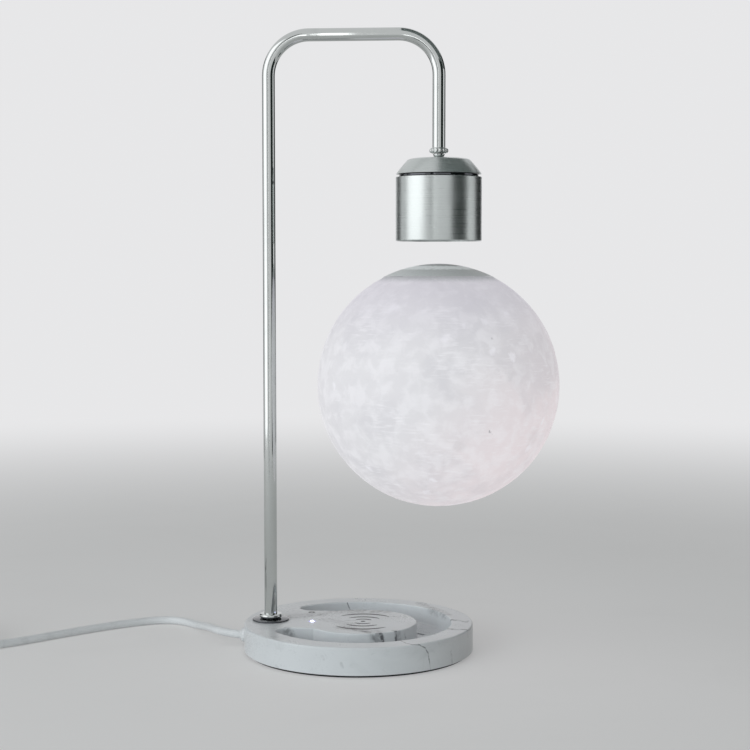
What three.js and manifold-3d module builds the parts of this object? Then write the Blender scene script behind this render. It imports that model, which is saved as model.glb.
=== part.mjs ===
// Magnetic levitation lamp: a round base with a sunken tray, an arched tube, an electromagnet head
// and a globe that floats below the head. Millimetres, +Z up. The origin is the centre of the
// underside, and +X runs from the post towards the floating globe.
import Module from "manifold-3d";
import * as THREE from "three";
import { mergeVertices } from "three/addons/utils/BufferGeometryUtils.js";

const wasm = await Module();
wasm.setup();

// Clearances
const seat = 0.3; // gap between pieces that rest on each other
const overrun = 2; // how far a cut runs past the face that it opens
const weldDistance = 1e-4; // corners nearer than this are one corner

// Round sections: how many sides each kind of round gets
const baseSides = 72;
const globeSides = 40;
const headSides = 40;
const roundSides = 20;
const smallSides = 10;
const leadSides = 6;
const hexSides = 6;
const arcStep = Math.PI / 24;
const collarStep = Math.PI / 6;

// Base shell
const baseRadius = 71.5;
const baseHeight = 18.2;
const baseEdgeRound = 1.2;
const shellWall = 2.5;
const rimWidth = 13.5;
const trayRadius = baseRadius - rimWidth;
const trayFloorHeight = 7.3;
const trayFloorWall = 1.5;
const padRadius = 34.9;
const padCenterX = 1.5;
const bridgeFrontShare = 0.6074; // of the pad's radius
const bridgeBackShare = 0.8453;
const bridgeRoundShare = 0.3463; // of the tray's width round the pad
const slotLength = 7;
const slotWidth = 2.6;
const slotX = 38.2;
const slotY = 14;
const slotTurn = -0.72;

// Underside
const footInset = 2.5;
const footThickness = 1.2;
const plateThickness = 2.4;
const ballastWidth = 21;
const ballastLip = 1;
const ballastEndGap = 4;
const bossRadius = 3.2;
const baseScrewShank = 1.25;
const baseScrewHead = 2.6;
const baseScrewHeadHeight = 1.2;
const baseScrewLength = 9;
const screwLedge = 0.9;

// Electronics in the base
const boardThickness = 1.6;
const boardFrontGap = 7.8;
const boardBackGap = 4.5;
const boardBeforePost = 2.5;
const boardPastIndicator = 5;
const powerConnectorSize = [7, 6, 4];
const powerConnectorOffset = 3.5;
const powerConnectorEdge = 6;
const archConnectorSize = [8, 6, 2.4];
const sensorLength = 10;
const sensorWidth = 4.6;
const sensorThickness = 0.4;
const touchShare = 0.6714; // of the way from the post to the charging coil's shield
const touchBackGap = 6.1;
const indicatorShare = 0.7571;
const indicatorY = -2.7;
const indicatorDiodeSize = [3.2, 2.8, 1.2];
const lightPipeRadius = 1.1;
const lightPipeDome = 0.7;
const chargingCoilInner = 9;
const chargingCoilOuter = 20;
const chargingCoilThickness = 2;
const ferriteRadius = 22;
const ferriteThickness = 0.8;
const pillarRadius = 2.2;
const pillarCircle = 17;

// Arch
const postInset = 16;
const postX = postInset - baseRadius;
const headX = 49.5;
const archHeight = 381.9;
const tubeRadius = 4;
const tubeWall = 0.8;
const bendRadius = 25;
const bendSteps = 7;
const tubeFootHeight = 9.6;
const wiringRadius = 1.2;
const flangeRadius = 11.5;
const flangeEdge = 0.5;
const flangeThickness = 1.1;
const footCollarRadius = 7.1;
const footCollarHeight = 2.6;
const tubeNutRadius = 7.4;
const tubeNutHeight = 3.2;

// Head
const housingRadius = 26.4;
const housingWall = 1.6;
const headDrop = 87; // from the arch's centreline down to the housing
const housingHeight = 39.2;
const housingChamfer = 0.8;
const housingThroat = 12;
const shadowGap = 1.8;
const spacerRadius = 24.4;
const spacerWall = 2;
const capRadius = 26.2;
const capHeight = 9.9;
const capWall = 1.5;
const capShoulderRadius = 19.4;
const capShoulderHeight = 8.3;
const capCrownRadius = 5;
const couplingHeight = 2;
const couplingRadius = 3.6;
const couplingNeckRadius = 2.1;
const nippleLength = 3.4;
const ringNutRadius = 5.9;
const ringNutHeight = 3.5;
const ringNutGroove = 0.45;
const ringNutRibs = 16;
const capNutRadius = 4.6;
const capNutHeight = 2;

// Inside the head
const coverRecess = 0.6;
const coverThickness = 1.7;
const coverPillarRadius = 2.5;
const coverPillarCircle = 20.6;
const senderCoilInner = 13.2;
const senderCoilOuter = 17.2;
const senderCoilThickness = 1.8;
const sensorBoardRadius = 12.6;
const hallSensorSize = [4.2, 3.2, 1.4];
const coreRadius = 6;
const bobbinRadius = 15;
const bobbinHubWall = 1.4;
const bobbinFlange = 1.6;
const bobbinHeight = 24;
const bracketThickness = 1.6;
const bracketHoleClearance = 0.4;
const coreHeadRadius = 8;
const coreHeadHeight = 2;
const coverScrewShank = 1.2;
const coverScrewHead = 2.2;
const coverScrewHeadHeight = 1.2;
const coverScrewLength = 8;

// Floating globe, from its own centre
const globeRadius = 75;
const levitationGap = 13.7;
const globeWall = 2;
const lidDepth = 7.7;
const poleCapRadius = 16;
const poleCapThickness = 1.6;
const magnetRadius = 12.4;
const magnetHeight = 10;
const magnetClearance = 0.5;
const holderWall = 1.6;
const holderFlangeRadius = 22;
const holderFlangeThickness = 1.5;
const holderFlangeDepth = 9;
const lidBossRadius = 2.4;
const lidBossCircle = 18.4;
const globeScrewShank = 1;
const globeScrewHead = 1.9;
const globeScrewHeadHeight = 1.1;
const globeScrewLength = 4.4;
const receiverCoilOuter = 20;
const receiverCoilThickness = 2.4;
const receiverBoardRadius = 21;
const stemRadius = 4;
const stemLength = 42;
const lightBoardRadius = 11;
const diodeRadius = 6.5;
const diodeThickness = 1.6;

// Cord, its gland, the coil of its spare length and its plug
const cordDiameter = 5.2;
const cordSides = 10;
const cordSteps = 28;
const glandAzimuth = Math.PI - 0.06;
const glandHeight = 7.4;
const glandRadius = 4.7;
const glandLipRadius = 4.1;
const glandReach = 3.2;
const glandStubRadius = 3.5;
const glandBoreRadius = 2;
const glandStubLength = 4.5;
const leadRadius = 1.4;
const leadSteps = 12;
const coilDistance = 204.5; // from the base's side to the coil's centre
const coilY = -12;
const coilInnerRadius = 20.5;
const coilTurnsPerLayer = 3;
const coilTurnGap = 0.5;
const coilTailTurns = 0.42;
const coilTailLength = 24;
const coilStartAzimuth = -Math.PI / 4;
const loopSteps = 24;
const loopSides = 6;
const tieThickness = 0.8;
const tieGap = 0.5;
const tieWidth = 5;
const tieFloorGap = 0.1;
const tieAzimuths = [Math.PI / 3, (4 * Math.PI) / 3];
const plugRadius = 4.8;
const plugLength = 22;
const plugBootLength = 12;
const plugBootRadius = 4.2;
const plugBootTipRadius = 3.3;
const barrelRadius = 2.75;
const barrelBoreRadius = 1.05;
const barrelLength = 9.5;

// The cord's free stretch from the gland to the coil, point by point, with x from the base's side
const cordRoute = [
  [-8.7, 5, 7.9],
  [-14.3, 6.8, 8.3],
  [-19.1, 10.4, 8.4],
  [-22.7, 15.4, 8.1],
  [-25.7, 21.2, 7.5],
  [-28.7, 27.4, 6.6],
  [-31.9, 33.8, 5.6],
  [-35.5, 40.4, 4.5],
  [-39.5, 47, 3.5],
  [-44.1, 53.2, 2.8],
  [-49.9, 58.8, 2.6],
  [-57.3, 62.4, 2.6],
  [-65.9, 62.6, 2.6],
  [-75.5, 59, 2.6],
  [-86.5, 51.8, 2.6],
  [-99.5, 41, 2.6],
  [-114.5, 26.6, 2.6],
  [-126.5, 14.2, 2.6],
  [-138.5, 1.2, 2.6],
  [-150.5, -11.2, 2.8],
  [-160.5, -21.2, 3.4],
];

// Places that follow from the sizes above
const bridgeFront = padRadius * bridgeFrontShare;
const bridgeBack = padRadius * bridgeBackShare;
const bridgeRound = (trayRadius - padRadius) * bridgeRoundShare;
const shieldEdge = padCenterX - ferriteRadius;
const indicatorX = THREE.MathUtils.lerp(postX, shieldEdge, indicatorShare);
const touchX = THREE.MathUtils.lerp(postX, shieldEdge, touchShare);
const touchY = bridgeBack - touchBackGap;
const boardLeft = postX - boardBeforePost;
const boardRight = indicatorX + boardPastIndicator;
const boardFront = boardFrontGap - bridgeFront;
const boardBack = bridgeBack - boardBackGap;
const ballastOuterRadius = trayRadius + ballastLip;
const ballastEndX = boardRight + ballastEndGap;
const powerConnectorX = postX + powerConnectorOffset;
const powerConnectorY = boardFront + powerConnectorEdge;
const coilX = -baseRadius - coilDistance;
const housingTop = archHeight - headDrop;
const housingBottom = housingTop - housingHeight;
const globeHeight = housingBottom - levitationGap - globeRadius;
const lidSeamHeight = globeRadius - lidDepth;
const lidHoleRadius = poleCapRadius + seat;
const holderFlangeHeight = globeRadius - holderFlangeDepth;
const shellBottom = footThickness + seat;
const plateTop = shellBottom + plateThickness;
const onPlate = plateTop + seat;
const skinUnderside = baseHeight - shellWall;
const underSkin = skinUnderside - seat;
const onBoard = onPlate + boardThickness + seat;
const tubeNutTop = underSkin;
const tubeBore = tubeRadius + seat;
const onBase = baseHeight + seat;
const onFlange = onBase + flangeThickness + seat;
const capBottom = housingTop + shadowGap;
const capTop = capBottom + capHeight;
const onCap = capTop + seat;
const tubeEndHeight = onCap + couplingHeight + seat;
const coverBottom = housingBottom + coverRecess;
const coverTop = coverBottom + coverThickness;
const onCover = coverTop + seat;
const housingInner = housingRadius - housingWall;
const bobbinBottom = onCover + boardThickness + seat + hallSensorSize[2] + seat;
const bobbinTop = bobbinBottom + bobbinHeight;
const bracketBottom = bobbinTop + seat;
const bracketTop = bracketBottom + bracketThickness;

const cordRadius = cordDiameter / 2;
const layerHeight = cordDiameter + coilTurnGap;
const coilHeight = tieFloorGap + tieThickness + tieGap + cordRadius;
const coilOuterRadius = coilInnerRadius + coilTurnsPerLayer * layerHeight;
const plugHeight = plugRadius + seat;

// Finishes, one new material for each piece
const finish = (color, roughness, metalness) => () =>
  new THREE.MeshStandardMaterial({ color, roughness, metalness });
const marble = finish(0xe6e6e8, 0.32, 0);
const chrome = finish(0xd8dadb, 0.08, 1);
const darkChrome = finish(0x4a4c4e, 0.12, 1);
const satinAluminium = finish(0xb9bfc1, 0.32, 1);
const steel = finish(0x9a9ca0, 0.4, 1);
const blackPlastic = finish(0x151517, 0.5, 0);
const whitePlastic = finish(0xe9e9ea, 0.45, 0);
const rubber = finish(0x0d0d0e, 0.85, 0);
const copper = finish(0xb87333, 0.35, 1);
const ferrite = finish(0x2b2b2e, 0.7, 0);
const board = finish(0x1f6b3a, 0.5, 0);
const magnetPlate = finish(0xc4c6c8, 0.2, 1);
const moonSurface = finish(0xd9d3d6, 0.75, 0);
const clearPlastic = finish(0xe8f0ff, 0.1, 0);
const diodeFinish = finish(0xfff2c8, 0.3, 0);
const cordJacket = finish(0xdedfe0, 0.5, 0);
const strap = finish(0x3a3a3c, 0.9, 0);

// Welds a geometry's corners, drops the slivers at its poles and turns its faces outwards.
function closed(geometry) {
  const bare = geometry.clone();
  bare.deleteAttribute("normal");
  bare.deleteAttribute("uv");
  const welded = mergeVertices(bare, weldDistance);
  const corners = welded.index.array;
  const place = (i) => new THREE.Vector3().fromBufferAttribute(welded.attributes.position, i);
  const kept = [];
  let volume = 0;
  for (let i = 0; i < corners.length; i += 3) {
    const [a, b, c] = [corners[i], corners[i + 1], corners[i + 2]];
    if (a === b || b === c || c === a) continue;
    kept.push([a, b, c]);
    volume += place(a).dot(place(b).cross(place(c)));
  }
  const faces = volume < 0 ? kept.map(([a, b, c]) => [a, c, b]) : kept;
  welded.setIndex(faces.flat());
  return welded;
}

function solid(geometry) {
  const mesh = closed(geometry);
  return new wasm.Manifold(
    new wasm.Mesh({
      numProp: 3,
      vertProperties: mesh.attributes.position.array,
      triVerts: new Uint32Array(mesh.index.array),
    }),
  );
}

function surface(body) {
  const { vertProperties, triVerts } = body.getMesh();
  const geometry = new THREE.BufferGeometry();
  geometry.setAttribute("position", new THREE.BufferAttribute(vertProperties, 3));
  geometry.setIndex([...triVerts]);
  return geometry;
}

function joined(first, ...others) {
  return surface(others.reduce((body, other) => body.add(solid(other)), solid(first)));
}

function cut(first, ...tools) {
  return surface(tools.reduce((body, tool) => body.subtract(solid(tool)), solid(first)));
}

// A turned piece: its profile is a list of [radius, height], on the axis at both ends or closed.
function turned(profile, sides = roundSides) {
  const points = profile.map(([radius, height]) => new THREE.Vector2(radius, height));
  const onAxis = profile[0][0] === 0 && profile.at(-1)[0] === 0;
  if (!onAxis) points.push(points[0].clone());
  return closed(new THREE.LatheGeometry(points, sides).rotateX(Math.PI / 2));
}

function disc(radius, bottom, top, sides = roundSides) {
  return turned([[0, bottom], [radius, bottom], [radius, top], [0, top]], sides);
}

function ring(inner, outer, bottom, top, sides = roundSides) {
  return turned([[inner, bottom], [outer, bottom], [outer, top], [inner, top]], sides);
}

function block([length, width, height], x, y, bottom) {
  return new THREE.BoxGeometry(length, width, height).translate(x, y, bottom + height / 2);
}

function prism(outline, bottom, top) {
  const settings = { depth: top - bottom, bevelEnabled: false };
  return closed(new THREE.ExtrudeGeometry(new THREE.Shape(outline), settings).translate(0, 0, bottom));
}

function at(geometry, x, y) {
  return geometry.clone().translate(x, y, 0);
}

// A list with one entry for each of so many steps between two values, both ends included.
function between(from, to, steps, make) {
  return Array.from({ length: steps + 1 }, (_, i) => make(THREE.MathUtils.lerp(from, to, i / steps)));
}

// Points on an arc from one angle to another, both ends included.
function arc(x, y, radius, from, to, step = arcStep) {
  const steps = Math.max(1, Math.round(Math.abs(to - from) / step));
  return between(from, to, steps, (angle) => {
    return new THREE.Vector2(x + radius * Math.cos(angle), y + radius * Math.sin(angle));
  });
}

// Angles of copies spread evenly round a circle.
function spread(count, first = 0) {
  return Array.from({ length: count }, (_, i) => first + (2 * Math.PI * i) / count);
}

function polygon(radius, sides) {
  return spread(sides).map((angle) => new THREE.Vector2(radius * Math.cos(angle), radius * Math.sin(angle)));
}

// A path that is sampled only at its own stations, each with a point and a direction.
class StationPath extends THREE.Curve {
  constructor(stations) {
    super();
    this.stations = stations;
  }
  station(u) {
    return this.stations[Math.round(u * (this.stations.length - 1))];
  }
  getPointAt(u) {
    return this.station(u).point.clone();
  }
  getTangentAt(u) {
    return this.station(u).direction.clone();
  }
}

function sweep(section, path, steps) {
  return closed(new THREE.ExtrudeGeometry(section, { steps, extrudePath: path, bevelEnabled: false }));
}

function sweepStations(section, stations) {
  return sweep(section, new StationPath(stations), stations.length - 1);
}

function rod(radius, sides) {
  return new THREE.Shape(polygon(radius, sides));
}

const lamp = new THREE.Group();
const baseGroup = new THREE.Group();
const headGroup = new THREE.Group();
const globeGroup = new THREE.Group();
const cordGroup = new THREE.Group();
headGroup.position.x = headX;
globeGroup.position.set(headX, 0, globeHeight);
lamp.add(baseGroup, headGroup, globeGroup, cordGroup);

function place(group, name, geometry, material) {
  const mesh = new THREE.Mesh(geometry, material());
  mesh.name = name;
  group.add(mesh);
  return mesh;
}

// The tray's outline, a channel round the pad that stops at the bridge; grow widens it all round.
function trayOutline(grow) {
  const outer = trayRadius + grow;
  const inner = padRadius - grow;
  const front = -(bridgeFront - grow);
  const back = bridgeBack - grow;
  const round = bridgeRound + grow;
  const roundX = (y) => -Math.sqrt((outer - round) ** 2 - y ** 2);
  const frontRoundY = front - round;
  const backRoundY = back + round;
  const frontX = roundX(frontRoundY);
  const backX = roundX(backRoundY);
  const frontTurn = Math.atan2(frontRoundY, frontX) + 2 * Math.PI;
  const backTurn = Math.atan2(backRoundY, backX);
  const padTurn = (y) => Math.atan2(y, -Math.sqrt(inner ** 2 - y ** 2));
  return [
    ...arc(frontX, frontRoundY, round, Math.PI / 2, frontTurn),
    ...arc(0, 0, outer, frontTurn, backTurn + 2 * Math.PI).slice(1),
    ...arc(backX, backRoundY, round, backTurn, (3 * Math.PI) / 2).slice(1),
    ...arc(padCenterX, 0, inner, padTurn(back), padTurn(front)),
  ];
}

const bossCircle = (trayRadius + shellWall + baseRadius - shellWall) / 2;
const baseScrewPlaces = spread(3).map((angle) => [
  bossCircle * Math.cos(angle),
  bossCircle * Math.sin(angle),
]);

function glandFrame(piece) {
  piece.position.set(baseRadius * Math.cos(glandAzimuth), baseRadius * Math.sin(glandAzimuth), glandHeight);
  piece.rotation.set(0, Math.PI / 2, glandAzimuth, "ZYX");
  return piece;
}

function glandHole() {
  const hole = disc(glandStubRadius + seat, -shellWall - overrun, overrun);
  const frame = glandFrame(new THREE.Object3D());
  frame.updateMatrix();
  return hole.applyMatrix4(frame.matrix);
}

function baseShell() {
  const body = turned(
    [
      [0, shellBottom],
      [baseRadius, shellBottom],
      [baseRadius, baseHeight - baseEdgeRound],
      [baseRadius - baseEdgeRound * (1 - Math.SQRT1_2), baseHeight - baseEdgeRound * (1 - Math.SQRT1_2)],
      [baseRadius - baseEdgeRound, baseHeight],
      [0, baseHeight],
    ],
    baseSides,
  );
  const tray = prism(trayOutline(0), trayFloorHeight, baseHeight + overrun);
  const inside = cut(
    disc(baseRadius - shellWall, shellBottom - overrun, skinUnderside, baseSides),
    prism(trayOutline(shellWall), trayFloorHeight - trayFloorWall, baseHeight),
  );
  const boss = disc(bossRadius, onPlate, skinUnderside + shellWall / 2);
  const pilotTop = shellBottom + baseScrewLength + overrun;
  const pilot = disc(baseScrewShank + seat, shellBottom - overrun, pilotTop, smallSides);
  const pipeHole = disc(lightPipeRadius + seat, trayFloorHeight, baseHeight + overrun, smallSides);
  const slot = block([slotLength, slotWidth, trayFloorHeight], 0, 0, shellBottom).rotateZ(slotTurn);
  return cut(
    joined(cut(body, tray, inside), ...baseScrewPlaces.map(([x, y]) => at(boss, x, y))),
    ...baseScrewPlaces.map(([x, y]) => at(pilot, x, y)),
    at(disc(tubeBore, trayFloorHeight, baseHeight + overrun), postX, 0),
    at(pipeHole, indicatorX, indicatorY),
    at(slot, slotX, slotY),
    glandHole(),
  );
}

function bottomPlate() {
  const pillar = disc(pillarRadius, plateTop - plateThickness / 2, ferriteBottom - seat, smallSides);
  const pillars = spread(3).map((angle) =>
    at(pillar, padCenterX + pillarCircle * Math.cos(angle), pillarCircle * Math.sin(angle)),
  );
  const headRoom = shellBottom + plateThickness - screwLedge;
  const holes = baseScrewPlaces.flatMap(([x, y]) => [
    at(disc(baseScrewShank + seat, shellBottom - overrun, plateTop + overrun, smallSides), x, y),
    at(disc(baseScrewHead + seat, shellBottom - overrun, headRoom, smallSides), x, y),
  ]);
  const plate = disc(baseRadius - shellWall - seat, shellBottom, plateTop, baseSides);
  return cut(joined(plate, ...pillars), ...holes);
}

function screw(headRadius, headHeight, shankRadius, length) {
  return turned(
    [
      [0, 0],
      [headRadius, 0],
      [headRadius, headHeight],
      [shankRadius, headHeight],
      [shankRadius, length],
      [0, length],
    ],
    smallSides,
  );
}

const chargingCoilBottom = underSkin - chargingCoilThickness;
const ferriteBottom = chargingCoilBottom - seat - ferriteThickness;

function ballastPlate() {
  const top = trayFloorHeight - trayFloorWall - seat;
  const reach = ballastOuterRadius + overrun;
  const gap = [reach + ballastEndX, 2 * reach, trayFloorHeight];
  const plate = ring(ballastOuterRadius - ballastWidth, ballastOuterRadius, onPlate, top, baseSides);
  return cut(plate, block(gap, ballastEndX - gap[0] / 2, 0, shellBottom));
}

function addBase() {
  place(baseGroup, "base_shell", baseShell(), marble);
  place(baseGroup, "foot_pad", disc(baseRadius - footInset, 0, footThickness, baseSides), rubber);
  place(baseGroup, "base_bottom_plate", bottomPlate(), blackPlastic);
  place(baseGroup, "ballast_plate", ballastPlate(), steel);
  baseScrewPlaces.forEach(([x, y], i) => {
    const body = screw(baseScrewHead, baseScrewHeadHeight, baseScrewShank, baseScrewLength);
    place(baseGroup, `base_screw_${i + 1}`, body, steel).position.set(x, y, shellBottom);
  });
}

function addBaseElectronics() {
  const mainBoardSize = [boardRight - boardLeft, boardBack - boardFront, boardThickness];
  const [boardX, boardY] = [(boardLeft + boardRight) / 2, (boardFront + boardBack) / 2];
  const mainBoard = block(mainBoardSize, boardX, boardY, onPlate);
  place(baseGroup, "main_circuit_board", mainBoard, board);
  const powerConnector = block(powerConnectorSize, powerConnectorX, powerConnectorY, onBoard);
  place(baseGroup, "power_connector", powerConnector, whitePlastic);
  place(baseGroup, "arch_connector", block(archConnectorSize, postX, 0, onBoard), whitePlastic);
  const sensorBottom = underSkin - sensorThickness;
  const sensor = block([sensorLength, sensorWidth, sensorThickness], touchX, touchY, sensorBottom);
  place(baseGroup, "touch_sensor_plate", sensor, copper);
  const diode = block(indicatorDiodeSize, indicatorX, indicatorY, onBoard);
  place(baseGroup, "indicator_diode", diode, diodeFinish);
  const pipeBottom = onBoard + indicatorDiodeSize[2] + seat;
  const dome = between(0, Math.PI / 2, 2, (angle) => [
    lightPipeRadius * Math.cos(angle),
    baseHeight + lightPipeDome * Math.sin(angle),
  ]);
  const pipe = turned([[0, pipeBottom], [lightPipeRadius, pipeBottom], ...dome], smallSides);
  place(baseGroup, "indicator_light_pipe", at(pipe, indicatorX, indicatorY), clearPlastic);
  const coil = ring(chargingCoilInner, chargingCoilOuter, chargingCoilBottom, underSkin);
  place(baseGroup, "charging_coil", at(coil, padCenterX, 0), copper);
  const shield = disc(ferriteRadius, ferriteBottom, ferriteBottom + ferriteThickness);
  place(baseGroup, "ferrite_shield", at(shield, padCenterX, 0), ferrite);
}

// The arch's centreline: up the post, over and down to the head, with a station at each bend step.
function archStations(bottom, end) {
  const bendHeight = archHeight - bendRadius;
  const station = (x, z, heading) => ({
    point: new THREE.Vector3(x, 0, z),
    direction: new THREE.Vector3(Math.cos(heading), 0, Math.sin(heading)),
  });
  const bend = (centerX, from, to) =>
    between(from, to, bendSteps, (angle) => {
      const [out, rise] = [bendRadius * Math.cos(angle), bendRadius * Math.sin(angle)];
      return station(centerX + out, bendHeight + rise, angle - Math.PI / 2);
    });
  return [
    station(postX, bottom, Math.PI / 2),
    ...bend(postX + bendRadius, Math.PI, Math.PI / 2),
    ...bend(headX - bendRadius, Math.PI / 2, 0),
    station(headX, end, -Math.PI / 2),
  ];
}

function addArch() {
  const pipe = rod(tubeRadius, roundSides);
  pipe.holes.push(new THREE.Path(polygon(tubeRadius - tubeWall, smallSides)));
  const tube = sweepStations(pipe, archStations(tubeFootHeight, tubeEndHeight));
  place(baseGroup, "arch_tube", tube, chrome);
  const wiringBottom = onBoard + archConnectorSize[2] + seat;
  const wiringPath = archStations(wiringBottom, capNutBottom - seat);
  const wiring = sweepStations(rod(wiringRadius, leadSides), wiringPath);
  place(baseGroup, "tube_wiring", wiring, cordJacket);
  const flange = turned([
    [tubeBore, onBase],
    [flangeRadius, onBase],
    [flangeRadius, onBase + flangeEdge],
    [footCollarRadius, onBase + flangeThickness],
    [tubeBore, onBase + flangeThickness],
  ]);
  place(baseGroup, "post_flange", at(flange, postX, 0), darkChrome);
  const collarRound = footCollarHeight / 2;
  const collarMiddle = onFlange + collarRound;
  const collarFace = footCollarRadius - collarRound;
  const collarSide = arc(collarFace, collarMiddle, collarRound, -Math.PI / 2, Math.PI / 2, collarStep);
  const collar = turned([
    [tubeBore, onFlange],
    ...collarSide.map(({ x, y }) => [x, y]),
    [tubeBore, onFlange + footCollarHeight],
  ]);
  place(baseGroup, "foot_collar", at(collar, postX, 0), chrome);
  const nut = cut(
    prism(polygon(tubeNutRadius, hexSides), tubeNutTop - tubeNutHeight, tubeNutTop),
    disc(tubeBore, tubeNutTop - tubeNutHeight - overrun, tubeNutTop + overrun),
  );
  place(baseGroup, "tube_lock_nut", at(nut, postX, 0), steel);
}

// The cap's side, from its lower edge over the shoulder to the almost flat top.
function capSide(inset, sideSteps, crownSteps) {
  const flareShare = 0.895;
  const crownShare = 0.955;
  const edge = new THREE.Vector2(capRadius - inset, capBottom);
  const shoulder = new THREE.Vector2(capShoulderRadius - inset / 2, capBottom + capShoulderHeight - inset);
  const swell = new THREE.Vector2(edge.x * flareShare, (edge.y + shoulder.y) / 2);
  const crown = new THREE.Vector2(shoulder.x * crownShare, capTop - inset);
  const top = new THREE.Vector2(capCrownRadius, capTop - inset);
  return [
    ...new THREE.QuadraticBezierCurve(edge, swell, shoulder).getPoints(sideSteps),
    ...new THREE.QuadraticBezierCurve(shoulder, crown, top).getPoints(crownSteps).slice(1),
  ].map(({ x, y }) => [x, y]);
}

const capNutTop = capTop - capWall - seat;
const capNutBottom = capNutTop - capNutHeight;
const nippleBottom = capTop - nippleLength - capWall / 2;

function addHeadTop() {
  const capHole = couplingNeckRadius + seat;
  const [sideSteps, crownSteps] = [4, 3];
  const outside = capSide(0, sideSteps, crownSteps);
  const inside = capSide(capWall, sideSteps - 2, crownSteps - 1).reverse();
  const cap = turned([...outside, [capHole, capTop], [capHole, capTop - capWall], ...inside], headSides);
  place(headGroup, "head_cap", cap, satinAluminium);
  const couplingTop = onCap + couplingHeight;
  const swell = couplingRadius - couplingNeckRadius;
  const bowl = between(0, Math.PI / 2, 4, (angle) => [
    couplingNeckRadius + swell * Math.sin(angle),
    couplingTop - couplingHeight * Math.cos(angle),
  ]);
  const coupling = turned([
    [wiringRadius + seat, nippleBottom],
    [couplingNeckRadius, nippleBottom],
    ...bowl,
    [wiringRadius + seat, couplingTop],
  ]);
  place(headGroup, "head_coupling", coupling, chrome);
  const ringBottom = onCap + couplingHeight + seat;
  const ribAngle = Math.PI / ringNutRibs;
  const rim = spread(ringNutRibs).flatMap((angle) => [
    ...polygonPair(ringNutRadius, angle, ribAngle / 2),
    ...polygonPair(ringNutRadius - ringNutGroove, angle + ribAngle, ribAngle / 2),
  ]);
  const ringNut = cut(
    prism(rim, ringBottom, ringBottom + ringNutHeight),
    disc(tubeBore, ringBottom - overrun, ringBottom + ringNutHeight + overrun),
  );
  place(headGroup, "head_ring_nut", ringNut, chrome);
  const capNut = cut(
    prism(polygon(capNutRadius, hexSides), capNutBottom, capNutTop),
    disc(capHole, capNutBottom - overrun, capNutTop + overrun),
  );
  place(headGroup, "cap_lock_nut", capNut, steel);
  const spacerInner = spacerRadius - spacerWall;
  const spacer = ring(spacerInner, spacerRadius, housingTop + seat, capBottom - seat, headSides);
  place(headGroup, "head_spacer_ring", spacer, chrome);
}

// Two points at one radius, half an angle to each side of a direction.
function polygonPair(radius, angle, half) {
  return [angle - half, angle + half].map(
    (turn) => new THREE.Vector2(radius * Math.cos(turn), radius * Math.sin(turn)),
  );
}

const coverScrewAngles = spread(3, Math.PI / 2);

function addHeadBody() {
  const housing = turned(
    [
      [housingInner, housingBottom],
      [housingRadius - housingChamfer, housingBottom],
      [housingRadius, housingBottom + housingChamfer],
      [housingRadius, housingTop],
      [housingThroat, housingTop],
      [housingThroat, housingTop - housingWall],
      [housingInner, housingTop - housingWall],
    ],
    headSides,
  );
  place(headGroup, "head_housing", housing, satinAluminium);
  const pillarPlaces = coverScrewAngles.map((angle) => [
    coverPillarCircle * Math.cos(angle),
    coverPillarCircle * Math.sin(angle),
  ]);
  const pillarTop = bracketBottom - seat;
  const pillar = disc(coverPillarRadius, coverTop - coverThickness / 2, pillarTop, smallSides);
  const pilotBottom = pillarTop - coverScrewLength - overrun;
  const pilot = disc(coverScrewShank + seat, pilotBottom, pillarTop + overrun, smallSides);
  const cover = cut(
    joined(
      disc(housingInner - seat, coverBottom, coverTop, headSides),
      ...pillarPlaces.map(([x, y]) => at(pillar, x, y)),
    ),
    ...pillarPlaces.map(([x, y]) => at(pilot, x, y)),
  );
  place(headGroup, "head_bottom_cover", cover, blackPlastic);
  const bracket = cut(
    disc(housingInner - seat, bracketBottom, bracketTop),
    disc(coreRadius + bracketHoleClearance, bracketBottom - overrun, bracketTop + overrun),
    ...pillarPlaces.map(([x, y]) =>
      at(disc(coverScrewShank + seat, bracketBottom - overrun, bracketTop + overrun, smallSides), x, y),
    ),
  );
  place(headGroup, "magnet_bracket", bracket, steel);
  pillarPlaces.forEach(([x, y], i) => {
    const body = screw(coverScrewHead, coverScrewHeadHeight, coverScrewShank, coverScrewLength);
    const piece = place(headGroup, `head_screw_${i + 1}`, body, steel);
    piece.position.set(x, y, bracketTop + seat + coverScrewHeadHeight);
    piece.rotation.x = Math.PI;
  });
}

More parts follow.
